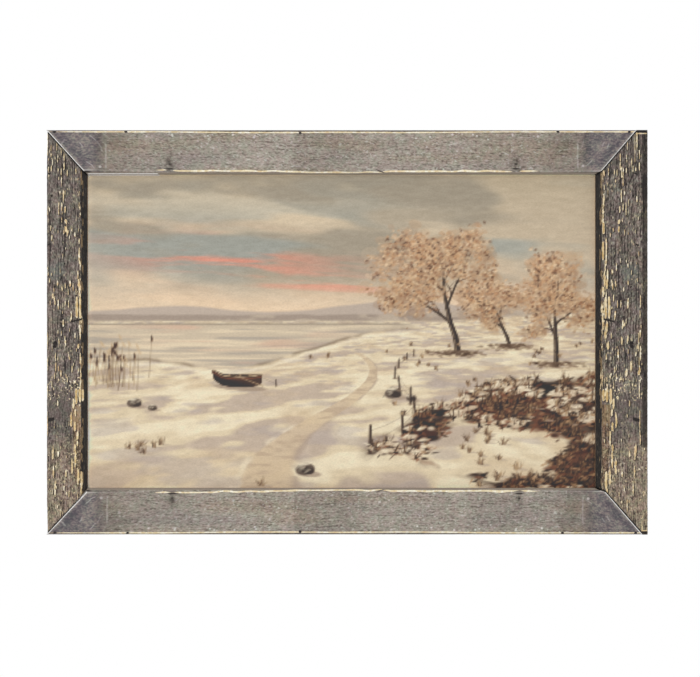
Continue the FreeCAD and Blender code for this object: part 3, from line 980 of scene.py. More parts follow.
    def worn_arris(self, height: Field) -> Field:
        """Knocks chips out of the outer arris and takes its two ends down.

        Args:
            height: the heights so far.

        Returns:
            The heights with the wear.
        """
        along, run = self.along, self.run
        chips = smooth(0.62, 0.8, self.noises[5].at(along / 7, 0))
        from_corner = np.minimum(along, along.max() - along)
        taper = self.corner_wear * (1 - smooth(0, 45, from_corner)) * (1 - smooth(-0.4, 1.0, run))
        return height - (0.12 + 0.9 * chips) * hump(run, 1.6) - taper


class WideFlakingPaint(FlakingPaint):
    """The right stile: the same wood with a darker, lower strip along its outer edge."""

    shadow = (0.6, -0.95)
    corner_wear = 0.0
    tan_lift = 0.0
    strip_run = 6.3
    strip_end = 372.0
    gap = (52.0, 80.0)

    def own_flakes(self) -> list[Flake]:
        """The flakes that the photograph shows on the right stile alone.

        Returns:
            The flakes.
        """
        listed = []
        for x_px, top_px, bottom_px, width_px in RIGHT_STILE_FLAKES_PX:
            across = (PHOTO.right_px - x_px) * PHOTO.mm_per_px
            width = width_px * PHOTO.mm_per_px
            listed.append(Flake(across, PHOTO.down(top_px), PHOTO.down(bottom_px), width))
        return listed

    def extras(self, level: Field, crack: Field) -> tuple[Field, Field, Field]:
        """Adds the strip, the lines at the two square shoulders, and the worn sight edge.

        Args:
            level: how much paint is left.
            crack: how deep the wood is cut, with the painted shadows of the flakes in it.

        Returns:
            The paint and the cuts with the additions, and 1 on the strip.
        """
        along, run, length = self.along, self.run, self.along.max()
        strip = (1 - smooth(self.strip_run - 0.5, self.strip_run + 0.3, run)) * smooth(-2, 0, run)
        strip = strip * (1 - smooth(self.strip_end, self.strip_end + 1.5, along))
        start, end = self.gap
        gap = smooth(start, start + 1, along) * (1 - smooth(end, end + 1, along))
        level = level * (1 - 0.75 * strip) * (1 - strip * gap)
        crack = np.maximum(crack, 0.9 * strip * gap)
        for middle, run_span, dark in (
            (2.0, (0.5, 13.6), True),
            (4.1, (0.8, 13.8), False),
            (length - 2.7, (0.3, 5.6), True),
            (length - 4.9, (0.6, 6.6), False),
        ):
            line = self.bar(along - middle, 0.85, run, run_span)
            if dark:
                crack, level = np.maximum(crack, 1.3 * line), level * (1 - line)
            else:
                level = np.maximum(level, 0.95 * line)
        upright = self.bar(run - 14.9, 0.5, along, (4.5, 38))
        upright = np.maximum(upright, self.bar(run - 6.7, 0.6, along, (length - 17, length - 4)))
        patchy = 0.35 + 0.5 * self.noises[7].at(along / 6, run)
        peach = hump(self.past - 0.4, 2.6) * smooth(44, 50, along) * (1 - smooth(84, 92, along))
        thin = 0.42 + 0.5 * smooth(0.55, 0.72, self.noises[7].fractal(along / 12, run / 1.5, 2))
        stained = np.maximum(level, 0.42 * smooth(0.35, 0.7, peach))
        level = blend(stained, np.minimum(level, thin), smooth(0.3, 0.5, peach))
        return np.maximum(level, upright * patchy), crack, strip


# The pale rails.


class SilveredWood(WoodRelief):
    """A pale rail with short wavy flecks, and cream paint left on both its arrises."""

    relief_depth = 0.22
    line_width = 3.5
    mitre_ease = (0.3, 0.8)
    shade_right = (
        (100, 0.66), (112, 0.6), (125, 0.44), (150, 0.28), (190, 0.26), (225, 0.1), (260, 0.04),
        (293.6, 0.02), (294.8, 0.38), (345, 0.36), (372, 0.04), (460, 0.06), (482, 0.24), (530, 0.34),
        (560, 0.58), (580, 0.62),
    )
    bead_right = (
        (87, 2.3), (150, 2.0), (172, 1.7), (230, 1.2), (276, 0.9), (283, -0.3), (350, -1.0), (366, -0.6),
        (382, -1.0), (392, 0.2), (440, 0.5), (600, 1.0),
    )
    rim_right = (
        (160, 0.0), (200, 0.45), (250, 0.95), (300, 0.85), (340, 0.5), (400, 0.95), (450, 0.7),
        (485, 0.15), (520, 0.0),
    )
    drift_right = ((54, 0.3), (172, 2.6), (300, 0.0), (460, 1.8), (540, 4.0), (630, 6.4))
    edge_nails_px = ((54.5, 1.8), (126, 1.4), (300, 3.2), (558, 1.2), (629.4, 1.7))
    specks_px = (
        (100, 36.3, 1.3), (146.5, 6.0, 1.0), (172, 4.5, 1.0), (172.5, 5.8, 0.8), (208, 5.5, 0.9),
        (212.5, 4.3, 0.8), (233, 4.3, 0.9), (254, 7.0, 1.1), (255, 5.2, 0.8), (416, 8.0, 0.8),
        (430, 6.5, 0.9), (452.5, 4.2, 1.0), (473, 4.4, 1.0), (477, 5.4, 0.8), (488, 9.0, 0.8),
        (512.5, 4.0, 1.0), (512.8, 5.4, 0.8), (538, 6.0, 1.1), (583, 35.5, 1.3),
    )
    scratches_px = (
        (79.6, 12.0, 82.4, 16.8), (65.0, 8.5, 59.5, 15.0), (86.0, 31.0, 95.0, 37.5),
        (97.0, 11.0, 103.0, 21.0), (90.0, 5.0, 96.0, 11.0), (602.0, 16.0, 605.0, 12.0),
        (607.0, 18.4, 609.6, 13.0), (592.0, 30.0, 585.0, 36.0), (584.0, 10.0, 580.0, 20.0),
    )

    def __init__(self, seed: int, drift: float, white_end_px: float, right_share: float) -> None:
        """Places the knots by the sight edge and the smooth patches by the mitres.

        Args:
            seed: makes each rail its own piece of wood.
            drift: how far its marks lie off those of the other rail, 0 or 1.
            white_end_px: how far the white line under the bead runs from the left, or 0 for none.
            right_share: how much of the right end's darkening this rail has.
        """
        super().__init__(seed)
        self.drift = drift
        self.white_end = PHOTO.from_left(white_end_px)
        self.right_share = right_share
        self.sight_knots = [self.place(x_px) for x_px in (169.7, 516)]
        self.patches = [self.place(x_px) for x_px in (104.5, 579)]

    def place(self, x_px: float) -> float:
        """The distance along the rail of a mark, from where it lies in the photo."""
        columns, drifts = zip(*self.drift_right)
        return PHOTO.from_left(x_px + self.drift * float(np.interp(x_px, columns, drifts)))

    def knot_marks(self, crack: Field, height: Field) -> tuple[Field, Field, Field]:
        """Cuts the dark notches, hollows and veins of the knots by the sight edge.

        Args:
            crack: how deep the wood is cut.
            height: the heights so far.

        Returns:
            The cuts and the heights with the knots, and the smudge round them.
        """
        along, run, off = self.along, self.run, self.face_end - self.run
        smudge = np.zeros_like(run)
        for place in self.sight_knots:
            past = along - place
            notch = hump(past, 5.2, off - 4.5, 0.95)
            under = 0.55 * np.exp(-(((past + 1) / 8) ** 4) - ((off - 2.0) / 0.8) ** 2)
            hollow = hump(past, 1.7, off - 10, 1.3)
            around = hump(past, 3.0 + 0.12 * off, off - 13, 8)
            height = height - 0.7 * notch - 0.4 * hollow
            veins = 0.6 * around * smooth(0.5, 0.75, self.noises[2].at(along / 1.5, run / 2.2))
            crack = np.maximum.reduce([crack, 1.7 * notch - 0.1, under, 1.2 * hollow, veins])
            smudge = np.maximum(smudge, around)
        for x_px, nail_run in self.edge_nails_px:
            dot = 1 - smooth(1.2, 2.0, np.hypot(along - self.place(x_px), run - nail_run))
            crack, height = np.maximum(crack, 1.5 * dot), height - 0.3 * dot
        return crack, height, smudge

    def pale_lines(self) -> Field:
        """Draws the pale edges of the smooth patches, specks of paint and scratches.

        Returns:
            1 at the middle of a line.
        """
        along, run = self.along, self.run
        left, right = (hump(along - self.patches[end] + side, 0.75) for end, side in ((0, -1.5), (1, 1.5)))
        broken = 0.45 + 0.55 * smooth(0.3, 0.6, self.noises[2].at(along, run / 2.5))
        line = 0.8 * (left + right) * smooth(10, 16, run) * smooth(47, 42, run) * broken
        for x_px, down_px, size in self.specks_px:
            distance = np.hypot(along - self.place(x_px), run - down_px * PHOTO.mm_per_px)
            line = np.maximum(line, 1 - smooth(size * 0.7, size * 1.7, distance))
        for x0_px, down0_px, x1_px, down1_px in self.scratches_px:
            start = (PHOTO.from_left(x0_px), down0_px * PHOTO.mm_per_px)
            end = (PHOTO.from_left(x1_px), down1_px * PHOTO.mm_per_px)
            line = np.maximum(line, 0.42 * self.scratch(start, end))
        return line

    def wear(self) -> Relief:
        """Works out the relief and the colour fields of a rail.

        Returns:
            The heights and the fields.
        """
        along, run, noises = self.along, self.run, self.noises
        self.knots = [Knot(place, self.face_end - 6.0, 5.0) for place in self.sight_knots]
        self.follow_grain()
        wavy = self.grain + 2.4 * (noises[2].fractal(along / 5.5, run / 4, 2) - 0.5)
        fleck = noises[3].fractal(along / 2.4, wavy / 1.3, 2, 0.6)
        broad = noises[4].fractal(along / 40, self.grain / 8, 3)
        edges = 3.0 * (noises[1].fractal(along / 5, run / 6, 2) - 0.5)
        calm = 1 - smooth(-11, 4, along - self.patches[0] + edges)
        calm = np.maximum(calm, smooth(-4, 11, along - self.patches[1] + edges))
        scratch = noises[1].fractal((along + run) / 1.2, (along - run) / 2.4, 2) - 0.5
        patch = self.calm_ridge() + 0.75 * scratch
        growth = self.growth_lines(wavy)
        grainy = 0.535 + 0.42 * (fleck - 0.5) + 0.16 * (broad - 0.5) - 0.3 * growth
        ridge = np.clip(blend(grainy, patch, calm), 0, 1)
        front = self.front_share()
        dash = smooth(0.72, 0.86, noises[5].at(along / 3.6 + 70, wavy / 1.05))
        crack = (0.4 * self.cracks(0.12) + 0.3 * dash) * (1 - calm)
        height = -0.12 - self.relief_depth * (1 - ridge) * (1 - 0.5 * calm) - 0.35 * crack
        crack, height, smudge = self.knot_marks(crack, height)
        level, rim = self.paint_field()
        # The sight corners add painted shade: a dark shadow line under the bead, darker towards the inner
        # corners.
        corner_line, corner_shadow = self.sight_corners()
        line = np.maximum(self.pale_lines(), corner_line)
        crack = np.maximum.reduce([crack, self.split(), corner_shadow])
        height = self.open_mitre(height - 0.45 * hump(run, 1.4))
        pale = 0.55 * smooth(0.8, 0.9, noises[1].at(along / 2 + 30, wavy / 1.1)) * (1 - calm)
        fields = {
            "ridge": ridge,
            "joint": self.joint(),
            "sliver": np.clip(pale + line, 0, 1),
            "crack": np.clip(np.maximum(crack, rim), 0, 1) * front,
            "paint": level * front * (1 - smooth(0.3, 0.8, crack)),
            "tone": noises[6].fractal(along / 70, run / 16, 2),
            "lip": smooth(self.face_end - 0.1, self.face_end + 0.5, run) * front,
            "front": front,
            "shade": self.shading(smudge),
            "calm": calm * front,
            "seam": self.seam() * front,
        }
        return Relief(blend(self.raw_back(), height, front), fields)

    def scratch(self, start: Pair, end: Pair) -> Field:
        """Draws a thin, nearly straight scratch.

        Args:
            start: where it starts, along and across the board.
            end: where it ends.

        Returns:
            1 at its middle.
        """
        reach = math.dist(start, end)
        ahead = ((end[0] - start[0]) / reach, (end[1] - start[1]) / reach)
        off_along, off_run = self.along - start[0], self.run - start[1]
        place = off_along * ahead[0] + off_run * ahead[1]
        off = off_along * ahead[1] - off_run * ahead[0]
        off = off + 1.6 * (self.noises[6].at(place / 4, 0) - 0.5)
        return hump(off, 0.55) * (smooth(-1, 1, place) * (1 - smooth(reach - 1, reach + 1, place)))

    def calm_ridge(self) -> Field:
        """Soft tones of a smooth patch: a dark curved band, with paler wood on both sides of it.

        Returns:
            0 for the darkest and 1 for the palest.
        """
        along, run, nearest = self.along, self.run, self.to_mitre
        cloud = self.noises[0].fractal(along / 11, run / 11, 3) - 0.5
        band = hump(nearest - 9 + 0.012 * (run - 24) ** 2, 8)
        sight = smooth(self.face_end - 14, self.face_end - 2, run)
        return 0.56 + 0.5 * cloud - 0.26 * band + 0.26 * sight + 0.34 * hump(nearest, 4.2)

    def bead_run(self) -> Field:
        """Where the bead at the sight edge lies: further from the edge towards the left corner, and wavy.

        Returns:
            The run of its middle.
        """
        along = self.along
        drop = PHOTO.read_right(self.bead_right, along)
        drop = drop + 1.3 * self.drift * hump(along - PHOTO.from_left(188), 22)
        inside = PHOTO.rise_right(140, 170, along) * (1 - PHOTO.rise_right(520, 550, along))
        return self.face_end - 0.9 - drop + 1.5 * inside * (self.noises[6].at(along / 14, 5.2) - 0.5)

    def sight_corners(self) -> tuple[Field, Field]:
        """The thin pale line that runs on from each mitre along the bead, and the painted shade below it.

        Returns:
            The line and the painted shade, each 1 at its middle.
        """
        off = self.run - self.bead_run()
        from_mitre = np.minimum(self.along - PHOTO.from_left(82.5), PHOTO.from_left(604) - self.along)
        pale = 0.62 - 0.3 * smooth(3, 20, from_mitre)
        pale = pale * (1 - smooth(60, 80, from_mitre)) * smooth(-2.5, -0.5, from_mitre)
        # Painted shade: darker wood past the bead in each inner corner, and a dark shadow line under the
        # bead.
        dark = smooth(0.7, 1.3, off) * (1 - smooth(5.5, 13, from_mitre))
        dark = dark + 0.5 * hump(off - 1.5, 0.6) * (1 - smooth(20, 70, from_mitre))
        return pale * hump(off, 0.5), np.clip(dark, 0, 1)

    def paint_field(self) -> tuple[Field, Field]:
        """Finds the cream paint along the two arrises, and the dark rim outside it.

        Returns:
            How much paint is left, and 1 on the rim.
        """
        along, run = self.along, self.run
        edge = self.noises[5].fractal(along / 6, run / 2, 2) - 0.5
        worn = self.noises[7].fractal(along / 26, 3.3, 3) - 0.5
        rim = PHOTO.read_right(self.rim_right, along)
        outer = 1.3 - np.abs(run - 1.6 - 1.1 * rim) / 0.95 + 0.8 * worn
        outer = outer - PHOTO.read_right(((60, 0.35), (112, 0)), along)
        bead = self.bead_run() - 0.5 * worn
        strong = PHOTO.rise_right(146, 166, along) * (1 - PHOTO.rise_right(527, 545, along))
        thick = 0.85 + (0.3 + 0.35 * PHOTO.rise_right(280, 292, along)) * strong
        inner = 1.35 - np.abs(run - bead) / thick + 0.8 * worn - 1.2 * (1 - strong)
        for place in self.sight_knots:
            inner = inner - 0.9 * hump(along - place, 5.5)
        level = np.clip(np.maximum(outer, inner) + 0.4 * edge, 0, 1)
        return level, 0.85 * rim * (1 - smooth(0.9, 1.5, run)) * smooth(-3, -1, run)

    def split(self) -> Field:
        """1 in a short slanted split that cuts through the bead right of the middle."""
        past = self.along - PHOTO.from_left(381.5)
        off = self.run - self.bead_run() + 0.6 - 0.4 * past
        return np.exp(-((off / 1.0) ** 2) - (past / 5.5) ** 4)

    def shading(self, smudge: Field) -> Field:
        """Darkens the wood towards the smooth patches, round the knots, and left of the middle.

        Args:
            smudge: 1 round the knots.

        Returns:
            How dark the wood is.
        """
        along, (first, last) = self.along, self.patches
        right = PHOTO.rise_right(500, 528, along) * (1 - PHOTO.rise_right(552, 574, along))
        share = PHOTO.read_right(self.shade_right, along) * (1 - (1 - self.right_share) * right)
        within = smooth(first - 18, first - 5, along) * smooth(-last - 18, -last - 5, -along)
        stains = [hump(along - PHOTO.from_left(x_px), 13, self.run - 14, 9) for x_px in (119, 565)]
        return np.clip(share * within + 0.3 * np.maximum(*stains) + 0.6 * smudge, 0, 1)

    def seam(self) -> Field:
        """Finds the pale line beside a mitre, and the white line under the bead.

        Returns:
            1 on them.
        """
        on_face = smooth(-0.8, 0.2, self.run) * (1 - smooth(-5.2, -4.2, self.run - self.width))
        below = self.past
        edge = smooth(1.5, 2.1, below) * (1 - smooth(4.0, 4.6, below)) * smooth(48.2, 49.0, self.along)
        edge = edge * (1 - smooth(-1.0, 0.6, self.along - self.white_end))
        return np.maximum((1 - smooth(0.65, 1.25, self.to_mitre)) * on_face, 0.9 * edge)


class Shader:
    """A material and short calls for the nodes that make it."""

    def __init__(self, name: str, roughness: float, metallic: float = 0.0) -> None:
        """Starts a Principled material.

        Args:
            name: the material's name.
            roughness: how matt it is, from 0 to 1.
            metallic: 1 for bare metal.
        """
        self.material = bpy.data.materials.new(name)
        self.material.use_nodes = True
        self.tree = self.material.node_tree
        self.surface = self.tree.nodes["Principled BSDF"]
        self.surface.inputs["Roughness"].default_value = roughness
        self.surface.inputs["Metallic"].default_value = metallic

    def node(self, kind: str, inputs: dict | None = None, **settings: object) -> Node:
        """Adds a node.

        Args:
            kind: its type.
            inputs: what its sockets are fed with: a number, a colour or an output each.
            settings: its own properties.

        Returns:
            The node.
        """
        made = self.tree.nodes.new(kind)
        for name, value in settings.items():
            setattr(made, name, value)
        for name, value in (inputs or {}).items():
            self.feed(made.inputs[name], value)
        return made

    def feed(self, socket: NodeSocket, value: object) -> None:
        """Links an output to a socket, or sets the socket to a value."""
        if isinstance(value, NodeSocket):
            self.tree.links.new(value, socket)
        else:
            socket.default_value = value

    def layer(self, name: str) -> NodeSocket:
        """Reads one of the mesh's own fields."""
        return self.node("ShaderNodeAttribute", attribute_name=name).outputs["Fac"]

    def coordinates(self, stretch: tuple[float, float, float] = (1, 1, 1)) -> NodeSocket:
        """Object coordinates in metres, stretched along each axis."""
        source = self.node("ShaderNodeTexCoord").outputs["Object"]
        return self.node("ShaderNodeMapping", {"Vector": source, "Scale": stretch}).outputs["Vector"]

    def noise(self, where: NodeSocket, scale: float, detail: float, rough: float = 0.55) -> NodeSocket:
        """Fractal noise between 0 and 1."""
        inputs = {"Vector": where, "Scale": scale, "Detail": detail, "Roughness": rough}
        return self.node("ShaderNodeTexNoise", inputs).outputs["Fac"]

    def sum(self, kind: str, first: object, second: object, clamp: bool = False) -> NodeSocket:
        """Does one sum on two numbers."""
        made = self.node("ShaderNodeMath", {0: first, 1: second}, operation=kind, use_clamp=clamp)
        return made.outputs[0]

    def scale(self, value: object, factor: float) -> NodeSocket:
        """Multiplies a number by a factor."""
        return self.sum("MULTIPLY", value, factor)

    def vary(self, value: object, noise: NodeSocket, strength: float) -> NodeSocket:
        """Adds noise to a number, with the noise's middle at 0."""
        return self.sum("ADD", value, self.scale(self.sum("SUBTRACT", noise, 0.5), strength))

    def rise(self, value: object, low: float, high: float) -> NodeSocket:
        """Rises softly from 0 at low to 1 at high."""
        inputs = {"Value": value, "From Min": low, "From Max": high}
        return self.node("ShaderNodeMapRange", inputs, interpolation_type="SMOOTHSTEP").outputs["Result"]

    def mix(self, share: object, first: object, second: object, kind: str = "MIX") -> NodeSocket:
        """Mixes two colours.

        Args:
            share: how much of the second there is.
            first: a colour as seen on a screen, or an output.
            second: the same.
            kind: how they are mixed.

        Returns:
            The mixed colour.
        """
        colours = [srgb(*colour) if isinstance(colour, tuple) else colour for colour in (first, second)]
        inputs = {"Factor": share, 6: colours[0], 7: colours[1]}
        return self.node("ShaderNodeMix", inputs, data_type="RGBA", blend_type=kind).outputs[2]

    def cover(
        self, base: object, colour: object, value: object, low: float, high: float, share: float = 1.0
    ) -> NodeSocket:
        """Lays one colour over another where a number is high.

        Args:
            base: the colour below.
            colour: the colour above.
            value: the number.
            low: where the colour above starts to show.
            high: where it shows most.
            share: how much it shows there.

        Returns:
            The mixed colour.
        """
        risen = self.rise(value, low, high)
        return self.mix(risen if share == 1 else self.scale(risen, share), base, colour)

    def ramp(self, value: NodeSocket, places: tuple[float, ...], colours: tuple[Colour, ...]) -> NodeSocket:
        """Turns a number into a colour by a row of stops.

        Args:
            value: the number.
            places: where the stops are.
            colours: the colour at each, as seen on a screen.

        Returns:
            The colour.
        """
        made = self.node("ShaderNodeValToRGB", {"Fac": value})
        elements = made.color_ramp.elements
        while len(elements) < len(places):
            elements.new(0.5)
        for element, place, colour in zip(elements, places, colours):
            element.position = place
            element.color = srgb(*colour)
        return made.outputs["Color"]

    def bump(self, height: NodeSocket, metres: float, strength: float) -> None:
        """Gives the surface a fine relief."""
        made = self.node("ShaderNodeBump", {"Height": height, "Distance": metres, "Strength": strength})
        self.feed(self.surface.inputs["Normal"], made.outputs["Normal"])

    def colour(self, value: object) -> None:
        """Sets the base colour."""
        self.feed(self.surface.inputs["Base Color"], value)


@dataclass(frozen=True)
class BoardFinish:
    """Colours of a weathered board, as seen on a screen, each row of them from dark to light."""

    name: str
    wood: tuple[Colour, ...]
    calm: tuple[Colour, ...]
    paint: tuple[Colour, ...]
    slivers: tuple[Colour, Colour]
    warm: Colour
    cool: Colour
    shade: Colour
    crack: Colour
    lip: Colour
    seam: Colour
    aged: Colour
    fibre_scale: float
    fibre_share: float
    tint_share: float
    grit_share: float = 0.0
    gold_share: float = 0.0
    seam_share: float = 0.95
    stain: Colour = (150, 125, 91)
    gold: tuple[Colour, Colour] = ((188, 153, 92), (218, 186, 122))
    tints: tuple[Colour, ...] = ((238, 250, 240), (252, 250, 248), (255, 238, 243))
    raw: tuple[Colour, ...] = ((116, 88, 62), (150, 119, 86), (178, 147, 110))
    raw_lines: Colour = (84, 60, 40)
    raw_smudges: Colour = (104, 82, 62)
    raw_joint: Colour = (48, 34, 24)

    def material(self, grain: tuple[float, float, float]) -> Material:
        """Makes the finish.

        Args:
            grain: how the fine noise is stretched, small along the board.

        Returns:
            The material.
        """
        shader = Shader(self.name, 0.85)
        plain, along_grain = shader.coordinates(), shader.coordinates(grain)
        fibre = shader.noise(along_grain, self.fibre_scale, 2)
        blotch = shader.noise(plain, 90, 4)
        ridge = shader.vary(shader.layer("ridge"), fibre, self.fibre_share)
        ridge = shader.vary(ridge, shader.noise(plain, 520, 3, 0.7), self.grit_share)
        wood = shader.ramp(ridge, (0.12, 0.32, 0.5, 0.68, 0.9), self.wood)
        tone = shader.layer("tone")
        for end, colour in ((0.8, self.warm), (0.2, self.cool)):
            wood = shader.mix(shader.rise(tone, 0.5, end), wood, colour, "MULTIPLY")
        wood = shader.mix(shader.layer("calm"), wood, shader.ramp(ridge, (0.15, 0.5, 0.85), self.calm))
        wood = shader.mix(shader.layer("sliver"), wood, shader.cover(*self.slivers, blotch, 0.4, 0.6))
        hue = shader.sum("ADD", shader.scale(blotch, 0.5), shader.scale(shader.noise(plain, 330, 2), 0.5))
        wood = shader.mix(self.tint_share, wood, shader.ramp(hue, (0.4, 0.49, 0.57), self.tints), "MULTIPLY")
        wood = shader.mix(shader.layer("shade"), wood, self.shade, "MULTIPLY")
        # The cracks, holes and gouges, and the painted shadows of the flakes and of the rails' sight corners,
        # take this dark colour.
        wood = shader.mix(shader.layer("crack"), wood, self.crack)
        lip = shader.mix(0.25, self.lip, shader.cover(self.lip, wood, fibre, 0.45, 0.75))
        wood = shader.mix(shader.layer("lip"), wood, lip)
        level = shader.vary(shader.layer("paint"), shader.noise(plain, 1200, 2), 0.3)
        paint = shader.ramp(shader.noise(plain, 230, 3), (0.36, 0.5, 0.64), self.paint)
        paint = shader.cover(paint, self.aged, shader.noise(plain, 75, 3), 0.52, 0.68, 0.55)
        broad = shader.scale(shader.rise(level, 0.66, 0.8), self.gold_share)
        paint = shader.mix(shader.scale(broad, 0.55), paint, self.gold[1])
        golden = shader.rise(shader.noise(along_grain, 430, 2), 0.47, 0.6)
        paint = shader.mix(shader.sum("MULTIPLY", golden, broad), paint, self.gold[0])
        wood = shader.cover(wood, shader.mix(0.65, wood, self.stain), level, 0.35, 0.42)
        wood = shader.cover(wood, paint, level, 0.45, 0.56)
        uneven = shader.rise(shader.noise(plain, 160, 3), 0.3, 0.5)
        uneven = shader.vary(self.seam_share - 0.15, uneven, 0.3)
        wood = shader.mix(shader.sum("MULTIPLY", shader.layer("seam"), uneven), wood, self.seam)
        wood = shader.mix(shader.layer("front"), self.raw_wood(shader, grain), wood)
        bare_joint = shader.sum("SUBTRACT", shader.layer("joint"), shader.layer("front"), clamp=True)
        shader.colour(shader.mix(bare_joint, wood, self.raw_joint))
        shader.bump(fibre, 0.0003, 0.6)
        return shader.material

    def raw_wood(self, shader: Shader, grain: tuple[float, float, float]) -> NodeSocket:
        """Colours the unpainted back: long figure, thin dark lines and a few smudges.

        Args:
            shader: the material that is being made.
            grain: how the fine noise of the front is stretched.

        Returns:
            The colour.
        """
        long = shader.coordinates(tuple(1.0 if share == 1 else share / 5 for share in grain))
        wood = shader.ramp(shader.noise(long, 130, 4, 0.6), (0.36, 0.5, 0.64), self.raw)
        wood = shader.cover(wood, self.raw_lines, shader.noise(long, 620, 2), 0.55, 0.72, 0.55)
        smudge = shader.noise(shader.coordinates(), 22, 3)
        return shader.cover(wood, self.raw_smudges, smudge, 0.55, 0.75, 0.35)


STILE_FINISH = BoardFinish(
    "flaking_stile",
    wood=((56, 48, 41), (102, 90, 78), (131, 117, 101), (149, 135, 118), (186, 173, 152)),
    calm=((82, 84, 80), (106, 110, 105), (132, 134, 126)),
    paint=((208, 184, 142), (241, 223, 182), (254, 245, 222)),
    slivers=((196, 178, 148), (160, 155, 146)),
    warm=(255, 240, 220),
    cool=(198, 204, 219),
    shade=(150, 148, 145),
    crack=(34, 28, 26),
    lip=(27, 23, 20),
    seam=(14, 11, 11),
    aged=(220, 176, 122),
    fibre_scale=1050.0,
    fibre_share=0.8,
    tint_share=0.8,
    grit_share=0.8,
    gold_share=0.85,
)
RAIL_FINISH = BoardFinish(
    "silvered_rail",
    wood=((118, 108, 98), (146, 138, 127), (164, 156, 145), (176, 168, 156), (198, 191, 179)),
    calm=((82, 78, 84), (113, 107, 108), (148, 140, 132)),
    paint=((226, 206, 164), (240, 227, 193), (252, 246, 228)),
    slivers=((230, 226, 220), (214, 211, 208)),
    warm=(252, 247, 240),
    cool=(242, 242, 246),
    shade=(190, 186, 182),
    crack=(42, 36, 33),
    lip=(142, 131, 119),
    seam=(255, 254, 252),
    aged=(226, 194, 146),
    fibre_scale=780.0,
    fibre_share=1.3,
    tint_share=0.55,
)


class PictureFrame:
    """The four mitred boards, sized from the CAD nodes."""

    rail_bevel = (2.4, 2.8)
    stile_bevel = (7.6, 6.5)
    bends = {
        (Side.TOP, Side.LEFT): (43.0, 47.4),
        (Side.BOTTOM, Side.LEFT): (45.9, 48.6),
        (Side.TOP, Side.RIGHT): (54.2, 47.4),
        (Side.BOTTOM, Side.RIGHT): (49.8, 49.6),
    }

    def __init__(self) -> None:
        """Reads the boards' sizes from the frame."""
        boxes = board_boxes()
        self.left, self.right = boxes[Side.LEFT][0].x, boxes[Side.RIGHT][1].x
        self.bottom, self.top = boxes[Side.BOTTOM][0].z, boxes[Side.TOP][1].z
        self.widths = {side: boxes[side][1].x - boxes[side][0].x for side in (Side.LEFT, Side.RIGHT)}
        self.shoulders = {}
        for side in (Side.TOP, Side.BOTTOM):
            self.widths[side] = boxes[side][1].z - boxes[side][0].z
            self.shoulders[side] = self.right - boxes[side][1].x

    def boards(self) -> list[Board]:
        """Describes each board by its corner, directions, cuts and wear.

        Returns:
            The boards, the rails before the stiles.
        """
        width, height = self.right - self.left, self.top - self.bottom
        listed = []
        for side, edge, down, wear in (
            (Side.TOP, self.top, -1, SilveredWood(3, 0, 158, 1.0)),
            (Side.BOTTOM, self.bottom, 1, SilveredWood(4, 1, 0, 0.35)),
        ):
            ways = ((self.left, edge), (1, 0), (0, down))
            cuts = [self.cut(side, stile, True) for stile in (Side.LEFT, Side.RIGHT)]
            sizes = (width, self.widths[side])
            listed.append(Board(side, *ways, *sizes, *cuts, self.rail_bevel, wear, 1.1, 0.62))
        for side, edge, inward, wear in (
            (Side.LEFT, self.left, 1, FlakingPaint(5, (0.0, 0.0))),
            (Side.RIGHT, self.right, -1, WideFlakingPaint(6, (12.0, 7.4))),
        ):
            ways = ((edge, self.top), (0, -1), (inward, 0))
            cuts = [self.cut(rail, side, False) for rail in (Side.TOP, Side.BOTTOM)]
            sizes = (height, self.widths[side])
            listed.append(Board(side, *ways, *sizes, *cuts, self.stile_bevel, wear, 0.92, 0.48))
        return listed

    def cut(self, rail: Side, stile: Side, on_rail: bool) -> MitreCut:
        """The cut at one corner, as its rail or its stile has it.

        Args:
            rail: the rail of the corner.
            stile: the stile of the corner.
            on_rail: gives the rail's cut if true, and otherwise the stile's.

        Returns:
            The cut. A shoulder is left on the right stile, so the rail starts that far in.
        """
        shoulder = self.shoulders[rail] if stile is Side.RIGHT else 0.0
        bend_x, bend_z = self.bends[(rail, stile)]
        if on_rail:
            return MitreCut(0.0, bend_z, bend_x, self.widths[stile], shoulder)
        return MitreCut(shoulder, bend_x, bend_z, self.widths[rail], 0.0)

    def build(self) -> None:
        """Models and dresses the boards."""
        rail_wood = (RAIL_FINISH.material((0.4, 1, 1)), "rail_wood")
        stile_wood = (STILE_FINISH.material((1, 1, 0.16)), "stile_wood")
        for board in self.boards():
            piece = board.build()
            material, slot = rail_wood if board.side in (Side.TOP, Side.BOTTOM) else stile_wood
            piece.data.materials.append(material)
            report(piece)


